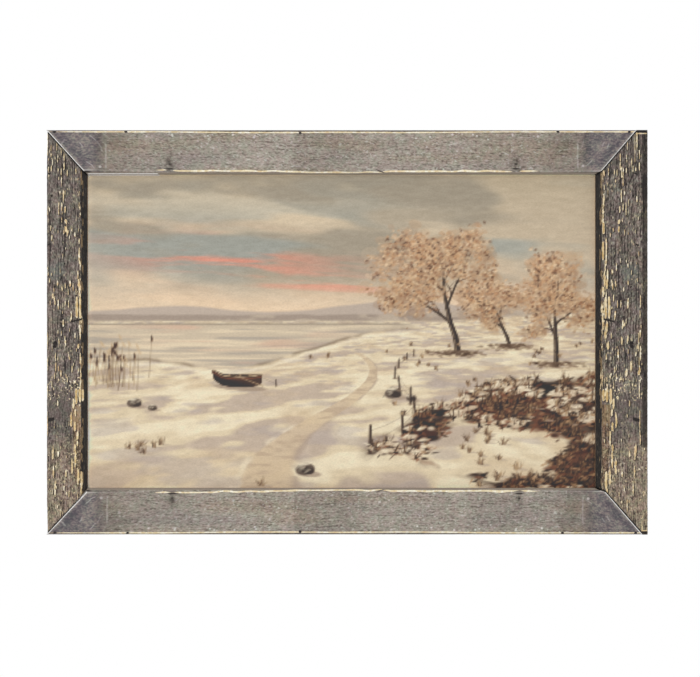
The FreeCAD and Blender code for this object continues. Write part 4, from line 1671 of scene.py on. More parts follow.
class Canvas:
    """Colours as seen on a screen, on a grid of points, in millimetres from the upper left corner."""

    def __init__(self, width: float, height: float, columns: int, rows: int) -> None:
        """Lays out the grid.

        Args:
            width: width of the whole picture.
            height: its height.
            columns: spaces between the points across.
            rows: spaces between the points down.
        """
        self.width, self.height = width, height
        self.step_x, self.step_y = width / columns, height / rows
        self.x, self.y = np.meshgrid(np.linspace(0, width, columns + 1), np.linspace(0, height, rows + 1))
        self.colour = np.zeros((rows + 1, columns + 1, 3))
        self.thick = np.zeros((rows + 1, columns + 1))

    def wash(self, colour: Colour, share: Field) -> None:
        """Lays a colour over the picture, as strongly as share says at each point."""
        self.colour = blend(self.colour, np.asarray(colour, float), np.clip(share, 0, 1)[..., None])

    def window(self, x: float, y: float, reach: float) -> tuple[slice, slice]:
        """The rows and columns that lie within reach of a place."""
        return tuple(
            slice(max(0, int((middle - reach) / step)), max(0, int((middle + reach) / step) + 2))
            for middle, step in ((y, self.step_y), (x, self.step_x))
        )

    def lay(self, where: tuple[slice, slice], colour: Colour, cover: Field) -> None:
        """Lays a colour over part of the picture."""
        self.colour[where] = blend(self.colour[where], np.asarray(colour, float), cover[..., None])
        self.thick[where] = np.maximum(self.thick[where] * (1 - cover), cover)

    def dab(self, place: Pair, size: Pair, angle: float, colour: Colour, share: float) -> None:
        """Makes one brush mark, a soft ellipse.

        Args:
            place: its middle.
            size: its length and width.
            angle: how far it is turned clockwise, in radians.
            colour: its colour.
            share: how strongly it covers.
        """
        length, width = size
        where = self.window(*place, max(size) * 0.75 + 1.2)
        off_x, off_y = self.x[where] - place[0], self.y[where] - place[1]
        cosine, sine = math.cos(angle), math.sin(angle)
        along, across = off_x * cosine + off_y * sine, off_y * cosine - off_x * sine
        distance = np.hypot(along / (length / 2), across / (width / 2))
        soft = 0.9 / (width / 2 + 0.5)
        self.lay(where, colour, (1 - smooth(1 - soft, 1 + soft, distance)) * share)

    def line(self, start: Pair, end: Pair, widths: Pair, colour: Colour, share: float) -> None:
        """Draws a straight stroke.

        Args:
            start: where it starts.
            end: where it ends.
            widths: its width at both, between which it tapers.
            colour: its colour.
            share: how strongly it covers.
        """
        off = np.subtract(end, start)
        where = self.window(*(np.add(start, end) / 2), np.abs(off).max() / 2 + max(widths) + 1.5)
        off_x, off_y = self.x[where] - start[0], self.y[where] - start[1]
        along = np.clip((off_x * off[0] + off_y * off[1]) / max(float(off @ off), 1e-9), 0, 1)
        distance = np.hypot(off_x - along * off[0], off_y - along * off[1])
        half = blend(*widths, along) / 2
        cover = np.clip((half + 0.75 - distance) / 1.5, 0, 1) * np.clip(2 * half / 1.2, 0, 1)
        self.lay(where, colour, cover * share)


class Landscape(Canvas):
    """A wide view at dusk: pale water, a sandy path, old trees and rough dark growth."""

    seed = 11
    horizon = 0.455
    sky_heights = (0.0, 0.12, 0.28, 0.4, 0.46)
    sky_levels = ((190, 196, 204, 228, 240), (175, 180, 187, 203, 212), (149, 155, 162, 174, 181))
    tree_places = (
        (0.825, 0.545, 44, 1.68, 560), (0.915, 0.60, 62, 1.66, 1000), (0.725, 0.565, 74, 1.48, 1500),
    )
    far_boulders = ((0.60, 0.69, 15), (0.635, 0.705, 9), (0.10, 0.72, 13), (0.135, 0.735, 8))
    near_boulders = ((0.43, 0.925, 17), (0.88, 0.66, 10))
    soft_leaves = ((196, 166, 132), (178, 142, 108), (206, 180, 150), (160, 126, 98))
    crisp_leaves = ((222, 196, 160), (190, 146, 106), (150, 108, 78), (112, 84, 64), (208, 172, 132))
    growth = ((66, 50, 42), (98, 74, 58), (146, 98, 72), (176, 140, 104))

    def __init__(self, *grid: float) -> None:
        """Sets up the noises.

        Args:
            grid: width, height, columns and rows, as the canvas takes them.
        """
        super().__init__(*grid)
        self.noises = [LatticeNoise(self.seed * 100 + index) for index in range(10)]
        self.random = np.random.default_rng(self.seed)
        self.u, self.v = self.x / self.width, self.y / self.height

    def paint(self) -> None:
        """Paints everything, from far to near."""
        far = (self.sky, self.hills, self.ground, self.water, self.path, self.trees)
        near = (self.boulders, self.fence, self.boat, self.tussocks, self.grass, self.reeds)
        for step in far + near:
            step()

    def noise(self, number: int, x: float, y: float, octaves: int = 3, gain: float = 0.5) -> Field:
        """Reads a noise over the picture, with so many cells across and down it."""
        return self.noises[number].fractal(self.u * x, self.v * y, octaves, gain)

    def brush(self, across: float, down: float, strength: float, share: Field) -> None:
        """Lets single brush marks show."""
        marks = self.noises[5].fractal(self.u * across + 3 * self.v, self.v * down + 4 * self.u, 2) - 0.5
        self.colour += (marks * 2 * strength * share)[..., None]

    def sky(self) -> None:
        """Taupe clouds with cooler gaps, warm streaks and a glow at the horizon."""
        u, v, noises = self.u, self.v, self.noises
        for channel, levels in enumerate(self.sky_levels):
            self.colour[..., channel] = np.interp(v, self.sky_heights, levels)
        tilt = v - 0.10 * u + 0.03 * (self.noise(0, 3, 5, 2) - 0.5)
        dark = smooth(0.46, 0.66, noises[1].fractal(u * 3.2 + 2, tilt * 9, 4, 0.55))
        self.wash((156, 147, 131), 0.75 * dark * smooth(0.44, 0.3, v))
        light = smooth(0.5, 0.7, noises[2].fractal(u * 3.4 + 5, tilt * 11 + 3, 4, 0.55))
        self.wash((226, 207, 178), 0.6 * light * (1 - 0.6 * dark))
        blue = smooth(0.5, 0.68, noises[3].fractal(u * 4 + 1, tilt * 13, 3)) * hump(v - 0.24, 0.14)
        self.wash((156, 164, 160), 0.6 * blue)
        streak = smooth(0.42, 0.62, noises[4].fractal(u * 4.5, tilt * 34, 4, 0.6))
        where = hump(u - 0.27, 0.2) * hump(tilt - 0.245, 0.055)
        where = where + 0.75 * hump(u - 0.46, 0.15) * hump(tilt - 0.31, 0.03)
        self.wash((228, 152, 130), np.clip(0.95 * streak * where, 0, 0.9))
        self.wash((238, 210, 176), 0.55 * hump(v - self.horizon, 0.08) * hump(u - 0.3, 0.42))
        self.brush(60, 150, 7, smooth(self.horizon + 0.02, self.horizon, v))

    def hills(self) -> None:
        """Two hazy ranges along the horizon."""
        u, v, noises = self.u, self.v, self.noises
        far = self.horizon - 0.012 - 0.035 * hump(u - 0.62, 0.14) - 0.02 * hump(u - 0.18, 0.1)
        far = far - 0.008 * self.noise(6, 12, 0)
        self.wash((184, 170, 158), 0.85 * smooth(far - 0.004, far + 0.004, v))
        near = self.horizon - 0.004 - 0.05 * smooth(0.6, 1.0, u)
        near = near - 0.006 * noises[6].fractal(u * 24, u * 0 + 4, 3)
        woods = smooth(0.5, 0.7, noises[7].fractal(u * 60, u * 0 + 7, 2)) * smooth(0.5, 0.8, u)
        near = near - 0.012 * woods
        inside = smooth(near - 0.003, near + 0.003, v)
        self.wash((158, 142, 128), 0.75 * inside)
        self.wash((206, 190, 168), 0.6 * inside * smooth(0.5, 0.65, self.noise(7, 20, 40)))

    def ground(self) -> None:
        """Pale swells of sand and dry grass, lit from the left."""
        u, v, noises = self.u, self.v, self.noises
        edge = self.horizon + 0.012 - 0.03 * smooth(0.68, 1.0, u)
        inside = smooth(edge - 0.004, edge + 0.006, v)
        depth = 1 / np.maximum(v - 0.38, 0.05)
        x, z = (u - 0.5) * depth * 1.6, depth * 1.1
        swell = noises[0].fractal(x + 30, z * 1.6 + 9, 4)
        slope = noises[0].fractal(x + 29.84, z * 1.6 + 9.1, 4) - swell
        self.wash((224, 207, 176), inside)
        self.wash((190, 172, 156), 0.8 * inside * smooth(0.01, 0.07, slope))
        self.wash((240, 227, 198), 0.75 * inside * smooth(0.0, 0.06, -slope))
        self.wash((206, 182, 150), 0.45 * inside * smooth(0.5, 0.7, noises[2].fractal(x * 2 + 8, z * 2, 3)))
        self.wash((180, 168, 164), 0.4 * inside * smooth(0.56, 0.7, noises[3].fractal(x * 3, z * 5, 3)))
        self.brush(70, 120, 8, inside)

    def shore(self, u: Field) -> Field:
        """How far down the picture the near shore lies."""
        bay = 0.02 * hump(u - 0.26, 0.08) - 0.015 * hump(u - 0.12, 0.1)
        return 0.60 + bay - 0.11 * smooth(0.3, 0.62, u)

    def water(self) -> None:
        """Still water in bands, with a wet edge and a pale lip of sand."""
        u, v = self.u, self.v
        ragged = 0.012 * (self.noise(6, 30, 30) - 0.5)
        near, far = self.shore(u) + ragged, self.horizon + 0.022 + 0.2 * ragged
        inside = smooth(far - 0.003, far + 0.003, v) * smooth(near + 0.003, near - 0.003, v)
        inside = inside * smooth(0.66, 0.62, u)
        self.wash((206, 190, 166), inside)
        self.wash((232, 214, 184), 0.8 * inside * smooth(0.5, 0.7, self.noise(1, 7, 120)))
        self.wash((170, 160, 148), 0.7 * inside * smooth(0.52, 0.7, self.noise(2, 6, 90)))
        glow = smooth(0.5, 0.7, self.noise(4, 6, 70, 2)) * hump(u - 0.28, 0.16)
        self.wash((222, 172, 148), 0.5 * inside * glow)
        fade = smooth(0.66, 0.6, u)
        broken = smooth(0.3, 0.6, self.noise(7, 40, 3, 2))
        self.wash((142, 124, 104), 0.75 * fade * broken * hump(v - near, 0.005))
        self.wash((244, 232, 206), 0.6 * fade * hump(v - near - 0.012, 0.006))
        self.wash((150, 136, 120), 0.7 * fade * hump(v - far, 0.0035))

    def path(self) -> None:
        """A winding sandy path with worn edges."""
        share = np.clip((self.v - 0.56) / 0.44, 0, 1)
        middle = 0.52 + 0.05 * np.sin(6.2 * share**0.8) - 0.16 * share**1.6
        side = (self.u - middle) / (0.006 + 0.055 * share**1.5) + 0.25 * (self.noise(6, 40, 60) - 0.5)
        inside = smooth(1.05, 0.85, np.abs(side)) * smooth(0.555, 0.575, self.v)
        self.wash((214, 192, 160), 0.75 * inside)
        self.wash((188, 166, 142), 0.7 * inside * smooth(0.5, 0.7, self.noise(3, 26, 90)))
        broken = smooth(0.35, 0.65, self.noise(7, 30, 30, 2)) * smooth(0.56, 0.6, self.v)
        self.wash((178, 158, 140), 0.7 * broken * hump(side - 1.0, 0.2))
        self.wash((240, 227, 200), 0.5 * broken * hump(side + 1.1, 0.2))

    def branch(self, foot: Pair, length: float, angle: float, width: float, level: int, tips: list) -> None:
        """Draws a bough and what grows from it.

        Args:
            foot: where it starts.
            length: its length.
            angle: its direction, in radians above the horizontal.
            width: its width at the foot.
            level: 0 for the trunk, and 1 more for each fork.
            tips: a list that takes the ends of the boughs.
        """
        random = self.random
        x, y = foot
        steps = 4 if level == 0 else 3
        side = random.choice((-1, 1))
        shade = (88, 72, 60) if level < 2 else (118, 98, 82)
        for step in range(steps):
            angle += random.normal(0, 0.13)
            next_x, next_y = x + math.cos(angle) * length / steps, y - math.sin(angle) * length / steps
            wide, narrow = (width * (1 - 0.5 * (step + more) / steps) for more in (0, 1))
            self.line((x, y), (next_x, next_y), (wide, narrow), shade, 0.95 if level < 3 else 0.7)
            if level < 2:
                lit = (wide * 0.3, narrow * 0.3)
                self.line((x - lit[0], y), (next_x - lit[1], next_y), lit, (172, 152, 128), 0.6)
            x, y = next_x, next_y
            if level < 4 and (step > 0 or level > 0):
                side = -side
                turn = angle + side * random.uniform(0.45, 0.95)
                self.branch((x, y), length * random.uniform(0.42, 0.66), turn, narrow * 0.6, level + 1, tips)
        tips.append((x, y))
        if level < 4:
            turn = angle + random.normal(0, 0.25)
            self.branch((x, y), length * random.uniform(0.5, 0.7), turn, width * 0.5, level + 1, tips)

    def leaves(self, tips: Field, count: int, size: float, spread: float, crisp: bool, share: float) -> None:
        """Dabs leaves round the ends of the boughs, lighter towards the upper left.

        Args:
            tips: the ends of the boughs.
            count: number of the leaves.
            size: their usual length.
            spread: how far from the ends they fall.
            crisp: takes the clearer colours.
            share: how strongly they cover.
        """
        random = self.random
        low, extent = tips.min(0), np.ptp(tips, axis=0) + 1
        colours = self.crisp_leaves if crisp else self.soft_leaves
        for _ in range(count):
            place = tips[random.integers(len(tips))] + random.normal(0, spread, 2) * (1.1, 0.85)
            across, down = (place - low) / extent
            colour = np.array(colours[random.integers(len(colours))]) + random.normal(0, 6)
            length = size * random.uniform(0.7, 1.4)
            leaf = (length, length * random.uniform(0.5, 0.75))
            light = 16 * (1 - down - 0.6 * across)
            self.dab(place, leaf, random.uniform(-0.9, 0.9), colour + light, share * random.uniform(0.5, 1))

    def trees(self) -> None:
        """Old trees on the right with their leaves turning, and scrub at their feet."""
        random = self.random
        for u, v, height, lean, count in self.tree_places:
            foot = (u * self.width, v * self.height)
            tips = []
            state = random.bit_generator.state
            self.branch(foot, height, lean, 0.1 * height, 0, tips)
            tips = np.array(tips)
            self.leaves(tips, count // 5, 15, 6.5, False, 0.34)
            after = random.bit_generator.state
            random.bit_generator.state = state
            self.branch(foot, height, lean, 0.09 * height, 0, [])
            random.bit_generator.state = after
            self.leaves(tips, count // 2, 6.5, 5.0, False, 0.5)
            self.leaves(tips, count, 3.2, 5.0, True, 0.75)
            for _ in range(80):
                place = (foot[0] + random.normal(0, 14), foot[1] + abs(random.normal(0, 3.0)) - 2)
                colour = np.array((124, 100, 80)) + random.normal(0, 16)
                size = (random.uniform(4, 9), random.uniform(1.6, 3))
                self.dab(place, size, random.normal(0.1, 0.25), colour, 0.5)

    def boulders(self) -> None:
        """A few rounded stones, each with a lit top and a shadow to its right."""
        random = self.random
        for u, v, size in self.far_boulders + self.near_boulders:
            middle = np.array((u * self.width, v * self.height))
            for off, shape, angle, colour, share in (
                ((0.25, 0.32), (1.7, 0.42), 0.06, (170, 150, 132), 0.8),
                ((0, 0), (1.35, 0.82), -0.12, (116, 100, 88), 0.95),
                ((0.2, 0.1), (0.9, 0.5), 0.1, (88, 72, 62), 0.8),
            ):
                self.dab(middle + size * np.array(off), size * np.array(shape), angle, colour, share)
            for _ in range(14):
                place = middle + size * random.normal((-0.12, -0.16), (0.26, 0.13))
                shade = random.choice((150, 168, 132, 200)) * np.array((1, 0.93, 0.82))
                self.dab(place, (size * 0.34, size * 0.13), random.normal(-0.2, 0.3), shade, 0.6)
            top = middle + size * np.array((-0.12, -0.33))
            self.dab(top, (size * 0.8, size * 0.16), -0.08, (240, 228, 202), 0.8)

    def fence(self) -> None:
        """Old posts that follow the path, with slack wires."""
        posts = []
        for index in range(9):
            near = (index / 8) ** 1.5
            u = 0.575 + 0.05 * math.sin(5.5 * (1 - near)) + 0.10 * (1 - near) - 0.02 * near
            posts.append((u * self.width, (0.575 + 0.30 * near) * self.height, 7 + 25 * near))
        wire = (110, 92, 78)
        for (x0, y0, tall0), (x1, y1, tall1) in zip(posts, posts[1:]):
            for share in (0.82, 0.45):
                first, last = (x0, y0 - tall0 * share), (x1, y1 - tall1 * share)
                middle = ((x0 + x1) / 2, (first[1] + last[1]) / 2 + 0.06 * tall1)
                self.line(first, middle, (0.5, 0.6), wire, 0.8)
                self.line(middle, last, (0.6, 0.7), wire, 0.8)
        for x, y, tall in posts:
            width = 0.9 + 0.085 * tall
            top = (x + self.random.normal(0, 0.06) * tall, y - tall)
            self.dab((x + tall * 0.3, y + 0.5), (tall * 0.75, 0.9 + 0.05 * tall), 0.08, (176, 156, 138), 0.7)
            self.line((x, y), top, (width, width * 0.9), (84, 66, 54), 0.95)
            lit = width * 0.28
            self.line((x - lit, y), (top[0] - lit, top[1]), (lit, lit), (164, 142, 118), 0.8)
            self.dab((x, y + 0.4), (width * 2.4, width * 0.8), 0, (150, 128, 106), 0.7)

    def boat(self) -> None:
        """A small rowing boat drawn up on the shore, with its mooring post."""
        x, y, size = 0.30 * self.width, 0.648 * self.height, 58.0
        off_x, off_y = (self.x - x) / size, (self.y - y) / size
        along, down = off_x + 0.07 * off_y, off_y - 0.07 * off_x
        bow = 0.06 * smooth(-0.3, -0.5, along)
        sheer = -0.055 - 0.24 * along**2 - 0.05 * along - bow
        keel = 0.155 - 1.0 * np.abs(along) ** 3.2 - 0.02 * along - 0.6 * bow
        far = sheer - 0.055 * (1 - (2 * np.abs(along)) ** 2)
        soft = 0.012
        within = smooth(0.5, 0.485, np.abs(along + 0.05 * smooth(0.02, -0.15, down) * (along < 0)))
        shadow = smooth(1.0, 0.75, np.hypot((along - 0.06) / 0.62, (down - 0.16) / 0.07))
        hold = within * smooth(far - soft, far + soft, down) * smooth(sheer + soft, sheer - soft, down)
        hull = within * smooth(sheer - soft, sheer + soft, down) * smooth(keel + soft, keel - soft, down)
        self.wash((158, 138, 122), 0.75 * shadow)
        self.wash((70, 54, 46), 0.95 * hold)
        self.wash((104, 78, 62), hull)
        self.wash((72, 54, 46), 0.85 * hull * smooth(-0.02, 0.12, down - 0.2 * along))
        self.wash((150, 96, 70), 0.8 * hull * hump(down - sheer - 0.045, 0.016))
        self.wash((196, 172, 140), 0.9 * within * hump(down - sheer, 0.011))
        self.wash((150, 128, 104), 0.9 * within * hump(down - far, 0.009))
        for place in (-0.18, 0.04, 0.24):
            self.wash((164, 138, 108), 0.9 * (hump(along - place, 0.028) * hold))
        for start, end, widths, colour in (
            ((-0.10, -0.10), (0.50, 0.13), (0.9, 1.3), (178, 152, 120)),
            ((0.46, -0.06), (0.78, 0.10), (0.5, 0.5), (96, 78, 64)),
            ((0.78, 0.13), (0.775, 0.01), (1.5, 1.3), (78, 60, 50)),
        ):
            ends = [(x + place[0] * size, y + place[1] * size) for place in (start, end)]
            self.line(*ends, widths, colour, 0.9)

    def tuft(self, place: Pair, height: float, count: int, dark: Colour, light: Colour) -> None:
        """Draws a tuft of dry grass, as blades that fan out from its foot.

        Args:
            place: its foot.
            height: height of its longest blades.
            count: number of blades.
            dark: colour of the darkest blades.
            light: colour of the lightest.
        """
        random = self.random
        for _ in range(count):
            foot = place[0] + random.normal(0, height * 0.16)
            angle = math.pi / 2 + random.normal(0, 0.42)
            size = height * random.uniform(0.45, 1.0)
            bent = angle + random.normal(0, 0.25) + 0.3 * (angle - math.pi / 2)
            middle = (foot + math.cos(angle) * size * 0.55, place[1] - math.sin(angle) * size * 0.55)
            tip = (middle[0] + math.cos(bent) * size * 0.45, middle[1] - math.sin(bent) * size * 0.45)
            colour = blend(np.array(dark, float), np.array(light, float), random.random() ** 1.6)
            self.line((foot, place[1] + random.normal(0, 0.6)), middle, (1.1, 0.9), colour, 0.85)
            self.line(middle, tip, (0.9, 0.5), colour, 0.8)

    def tussocks(self) -> None:
        """Rough dark growth at the lower right, with pale sand caught on it."""
        random, u, v = self.random, self.u, self.v
        ridge = 0.83 - 0.18 * smooth(0.52, 0.84, u)
        ridge = ridge + 0.06 * (self.noises[6].fractal(u * 9, u * 0 + 2, 3) - 0.5)
        low = 1.08 - 0.16 * smooth(0.98, 0.62, u)
        mass = smooth(ridge - 0.012, ridge + 0.02, v) * smooth(low, low - 0.05, v) * smooth(0.52, 0.62, u)
        mass = mass * smooth(0.37, 0.48, self.noise(7, 8, 11, 4, 0.6))
        self.wash((98, 76, 62), 0.85 * mass)
        self.wash((58, 44, 37), 0.85 * mass * smooth(0.48, 0.62, self.noise(8, 22, 30)))
        self.wash((140, 90, 66), 0.6 * mass * smooth(0.54, 0.66, self.noise(9, 18, 26)))
        spots = []
        for _ in range(760):
            px, py = random.uniform(0.52, 1.0), random.uniform(0.62, 1.0)
            if mass[int(py * (mass.shape[0] - 1)), int(px * (mass.shape[1] - 1))] > 0.3:
                spots.append((py, px))
        sand = ((2, 15, 4.5, (224, 206, 178)), (3.5, 10, 2.3, (242, 229, 202)))
        for py, px in sorted(spots):
            x, y = px * self.width, py * self.height
            for _ in range(5):
                place = (x + random.normal(0, 5), y + random.normal(0, 3))
                size = (random.uniform(5, 11), random.uniform(1.6, 3.4))
                self.dab(place, size, random.normal(-0.25, 0.5), self.growth[random.choice(4)], 0.7)
            for lift, long, wide, colour in sand if self.noises[3].at(px * 11 + 4, py * 19) > 0.56 else ():
                place = (x + random.normal(0, 3.5), y - lift + random.uniform(-1.5, 1.5))
                size = np.array((long, wide)) * random.uniform(0.7, 1.3)
                self.dab(place, size, random.normal(-0.14, 0.2), colour, 0.8)
            if random.random() < 0.6:
                self.tuft((x, y), random.uniform(8, 17), 7, (70, 52, 42), (186, 148, 108))

    def grass(self) -> None:
        """Small tufts about the sand, larger towards the front."""
        random = self.random
        spots = []
        for _ in range(420):
            px, py = random.random(), 0.53 + 0.46 * random.random() ** 0.8
            on_path = abs(px - 0.5) < 0.08 + 0.1 * (py - 0.5) and py > 0.6
            bare = self.noises[9].at(px * 9, py * 12) < 0.62
            if not (on_path or bare or py < float(self.shore(np.array(px))) + 0.02):
                spots.append((py, px))
        for py, px in sorted(spots):
            near = (py - 0.45) / 0.55
            x, y = px * self.width, py * self.height
            size = 3 + 11 * near * random.uniform(0.6, 1.2)
            self.dab((x + size * 0.4, y + 0.6), (size * 1.3, size * 0.26), 0.05, (184, 166, 148), 0.6)
            self.tuft((x, y), size, int(5 + 7 * near), (104, 82, 66), (196, 164, 122))

    def reeds(self) -> None:
        """Tall reeds at the left, some with seed heads and some with leaves."""
        random = self.random
        for _ in range(46):
            x = random.normal(0.055, 0.035) * self.width
            y = random.normal(0.66, 0.012) * self.height
            size, lean = random.uniform(26, 52), random.normal(0.08, 0.08)
            tip = (x + size * lean, y - size)
            colour = blend(np.array((104, 82, 62.0)), np.array((188, 158, 118.0)), random.random())
            self.line((x, y), tip, (1.0, 0.6), colour, 0.85)
            if random.random() < 0.5:
                self.dab((tip[0], tip[1] + 2.5), (7.5, 2.4), math.pi / 2 - lean, (92, 64, 48), 0.9)
            elif random.random() < 0.6:
                self.dab((tip[0] + 1, tip[1] + 2), (8, 2.6), math.pi / 2 - 0.5, (206, 180, 144), 0.7)


class ArtPrint:
    """The print on its textured paper, which lies in the rabbet behind the boards."""

    node = "art_print"
    columns = 391
    rows = 245
    brush_depth = 0.15
    paper = (238, 232, 220)
    bare_edge = (6.6, 90.0, 1.3)
    middle_tone = 160.0
    contrast = 1.12
    depth = 0.75
    depth_from = 30.0
    # How far the boards' shadow reaches onto the print, and how much of it the painted light takes away.
    shade_reach = 3.1
    edge_shade = 0.8

    def build(self) -> None:
        """Paints the picture and models the print with its brush relief."""
        low, high = (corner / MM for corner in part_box(self.node))
        canvas = Landscape(high.x - low.x, high.z - low.z, self.columns, self.rows)
        canvas.paint()
        down, length, width = self.bare_edge
        canvas.line((0, down), (length, down), (width, width), self.paper, 0.9)
        off = (canvas.colour - self.middle_tone) * self.contrast
        grey = off.mean(axis=2, keepdims=True)
        canvas.colour = self.middle_tone + off + self.depth * np.minimum(grey + self.depth_from, 0)
        piece = self.model(canvas, low, high)
        piece.data.materials.append(self.material())
        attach(piece, FRAME_BODY)
        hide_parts(self.node)
        report(piece)

    def model(self, canvas: Canvas, low: Vector, high: Vector) -> Object:
        """Makes a grid of the picture's points, raised where the paint is thick, and closes it behind.

        Args:
            canvas: the painted picture.
            low: lowest corner of the print's node, in millimetres.
            high: its highest corner.

        Returns:
            The closed piece, with its colours as an attribute, brightened near the sight edges as painted
            light.
        """
        subdivisions = {"x_subdivisions": self.columns, "y_subdivisions": self.rows}
        bpy.ops.object.select_all(action="DESELECT")
        bpy.ops.mesh.primitive_grid_add(**subdivisions, size=1, location=(0, 0, 0))
        piece = named("landscape_print")
        places = place_of(piece.data)
        column = np.round((places[:, 0] + 0.5) * self.columns).astype(int)
        row = np.round((0.5 - places[:, 1]) * self.rows).astype(int)
        weave = LatticeNoise(77).fractal(canvas.x / 2.6, canvas.y / 1.9, 2)
        sunk = self.brush_depth * np.clip(1.1 - 0.5 * canvas.thick - 0.7 * weave, 0, 1)
        sunk[[0, -1], :] = 0
        sunk[:, [0, -1]] = 0
        points = np.stack([low.x + canvas.x, low.y + sunk, high.z - canvas.y], axis=-1)
        piece.data.vertices.foreach_set("co", (points[row, column] * MM).ravel())
        # Painted light: the colours are divided by the light that reaches past the sight edges, so the
        # boards' shadow on the print is brightened away.
        light = self.edge_light(points)[..., None] ** self.edge_shade
        brightened_at_edges = np.clip(linear(np.clip(canvas.colour, 0, 255) / 255) / light, 0, 0.92)
        colours = np.ones((len(row), 4), np.float32)
        colours[:, :3] = brightened_at_edges[row, column]
        layer = piece.data.attributes.new("colour", "FLOAT_COLOR", "POINT")
        layer.data.foreach_set("color", colours.ravel())
        with edit_mode():
            bpy.ops.mesh.select_all(action="SELECT")
            bpy.ops.mesh.region_to_loop()
            bpy.ops.mesh.extrude_edges_move(TRANSFORM_OT_translate={"value": (0, (high.y - low.y) * MM, 0)})
            bpy.ops.mesh.edge_face_add()
        face_outwards()
        return piece

    def edge_light(self, points: Field) -> Field:
        """Works out how much light reaches the print past the sight edges, which stand proud of it.

        Args:
            points: the picture's points, in millimetres.

        Returns:
            The share of the light at each point.
        """
        boxes = board_boxes()
        light = np.ones(points.shape[:2])
        for distance, loss in (
            (points[..., 0] - boxes[Side.LEFT][1].x, 0.7),
            (boxes[Side.RIGHT][0].x - points[..., 0], 0.2),
            (boxes[Side.TOP][0].z - points[..., 2], 0.6),
            (points[..., 2] - boxes[Side.BOTTOM][1].z, 0.2),
        ):
            light = light * (1 - loss * np.exp(-np.maximum(distance, 0) / self.shade_reach))
        return light

    def material(self) -> Material:
        """Makes the print's finish: the picture, broken up by fine strokes, under a slight sheen.

        Returns:
            The material.
        """
        shader = Shader("painted_print", 0.55)
        picture = shader.node("ShaderNodeAttribute", attribute_name="colour").outputs["Color"]
        strokes = shader.noise(shader.coordinates((1, 1, 2.4)), 520, 3)
        light = shader.ramp(strokes, (0.32, 0.68), ((238, 237, 236), (255, 255, 255)))
        shader.colour(shader.mix(1.0, picture, light, "MULTIPLY"))
        shader.bump(strokes, 0.0003, 0.5)
        return shader.material


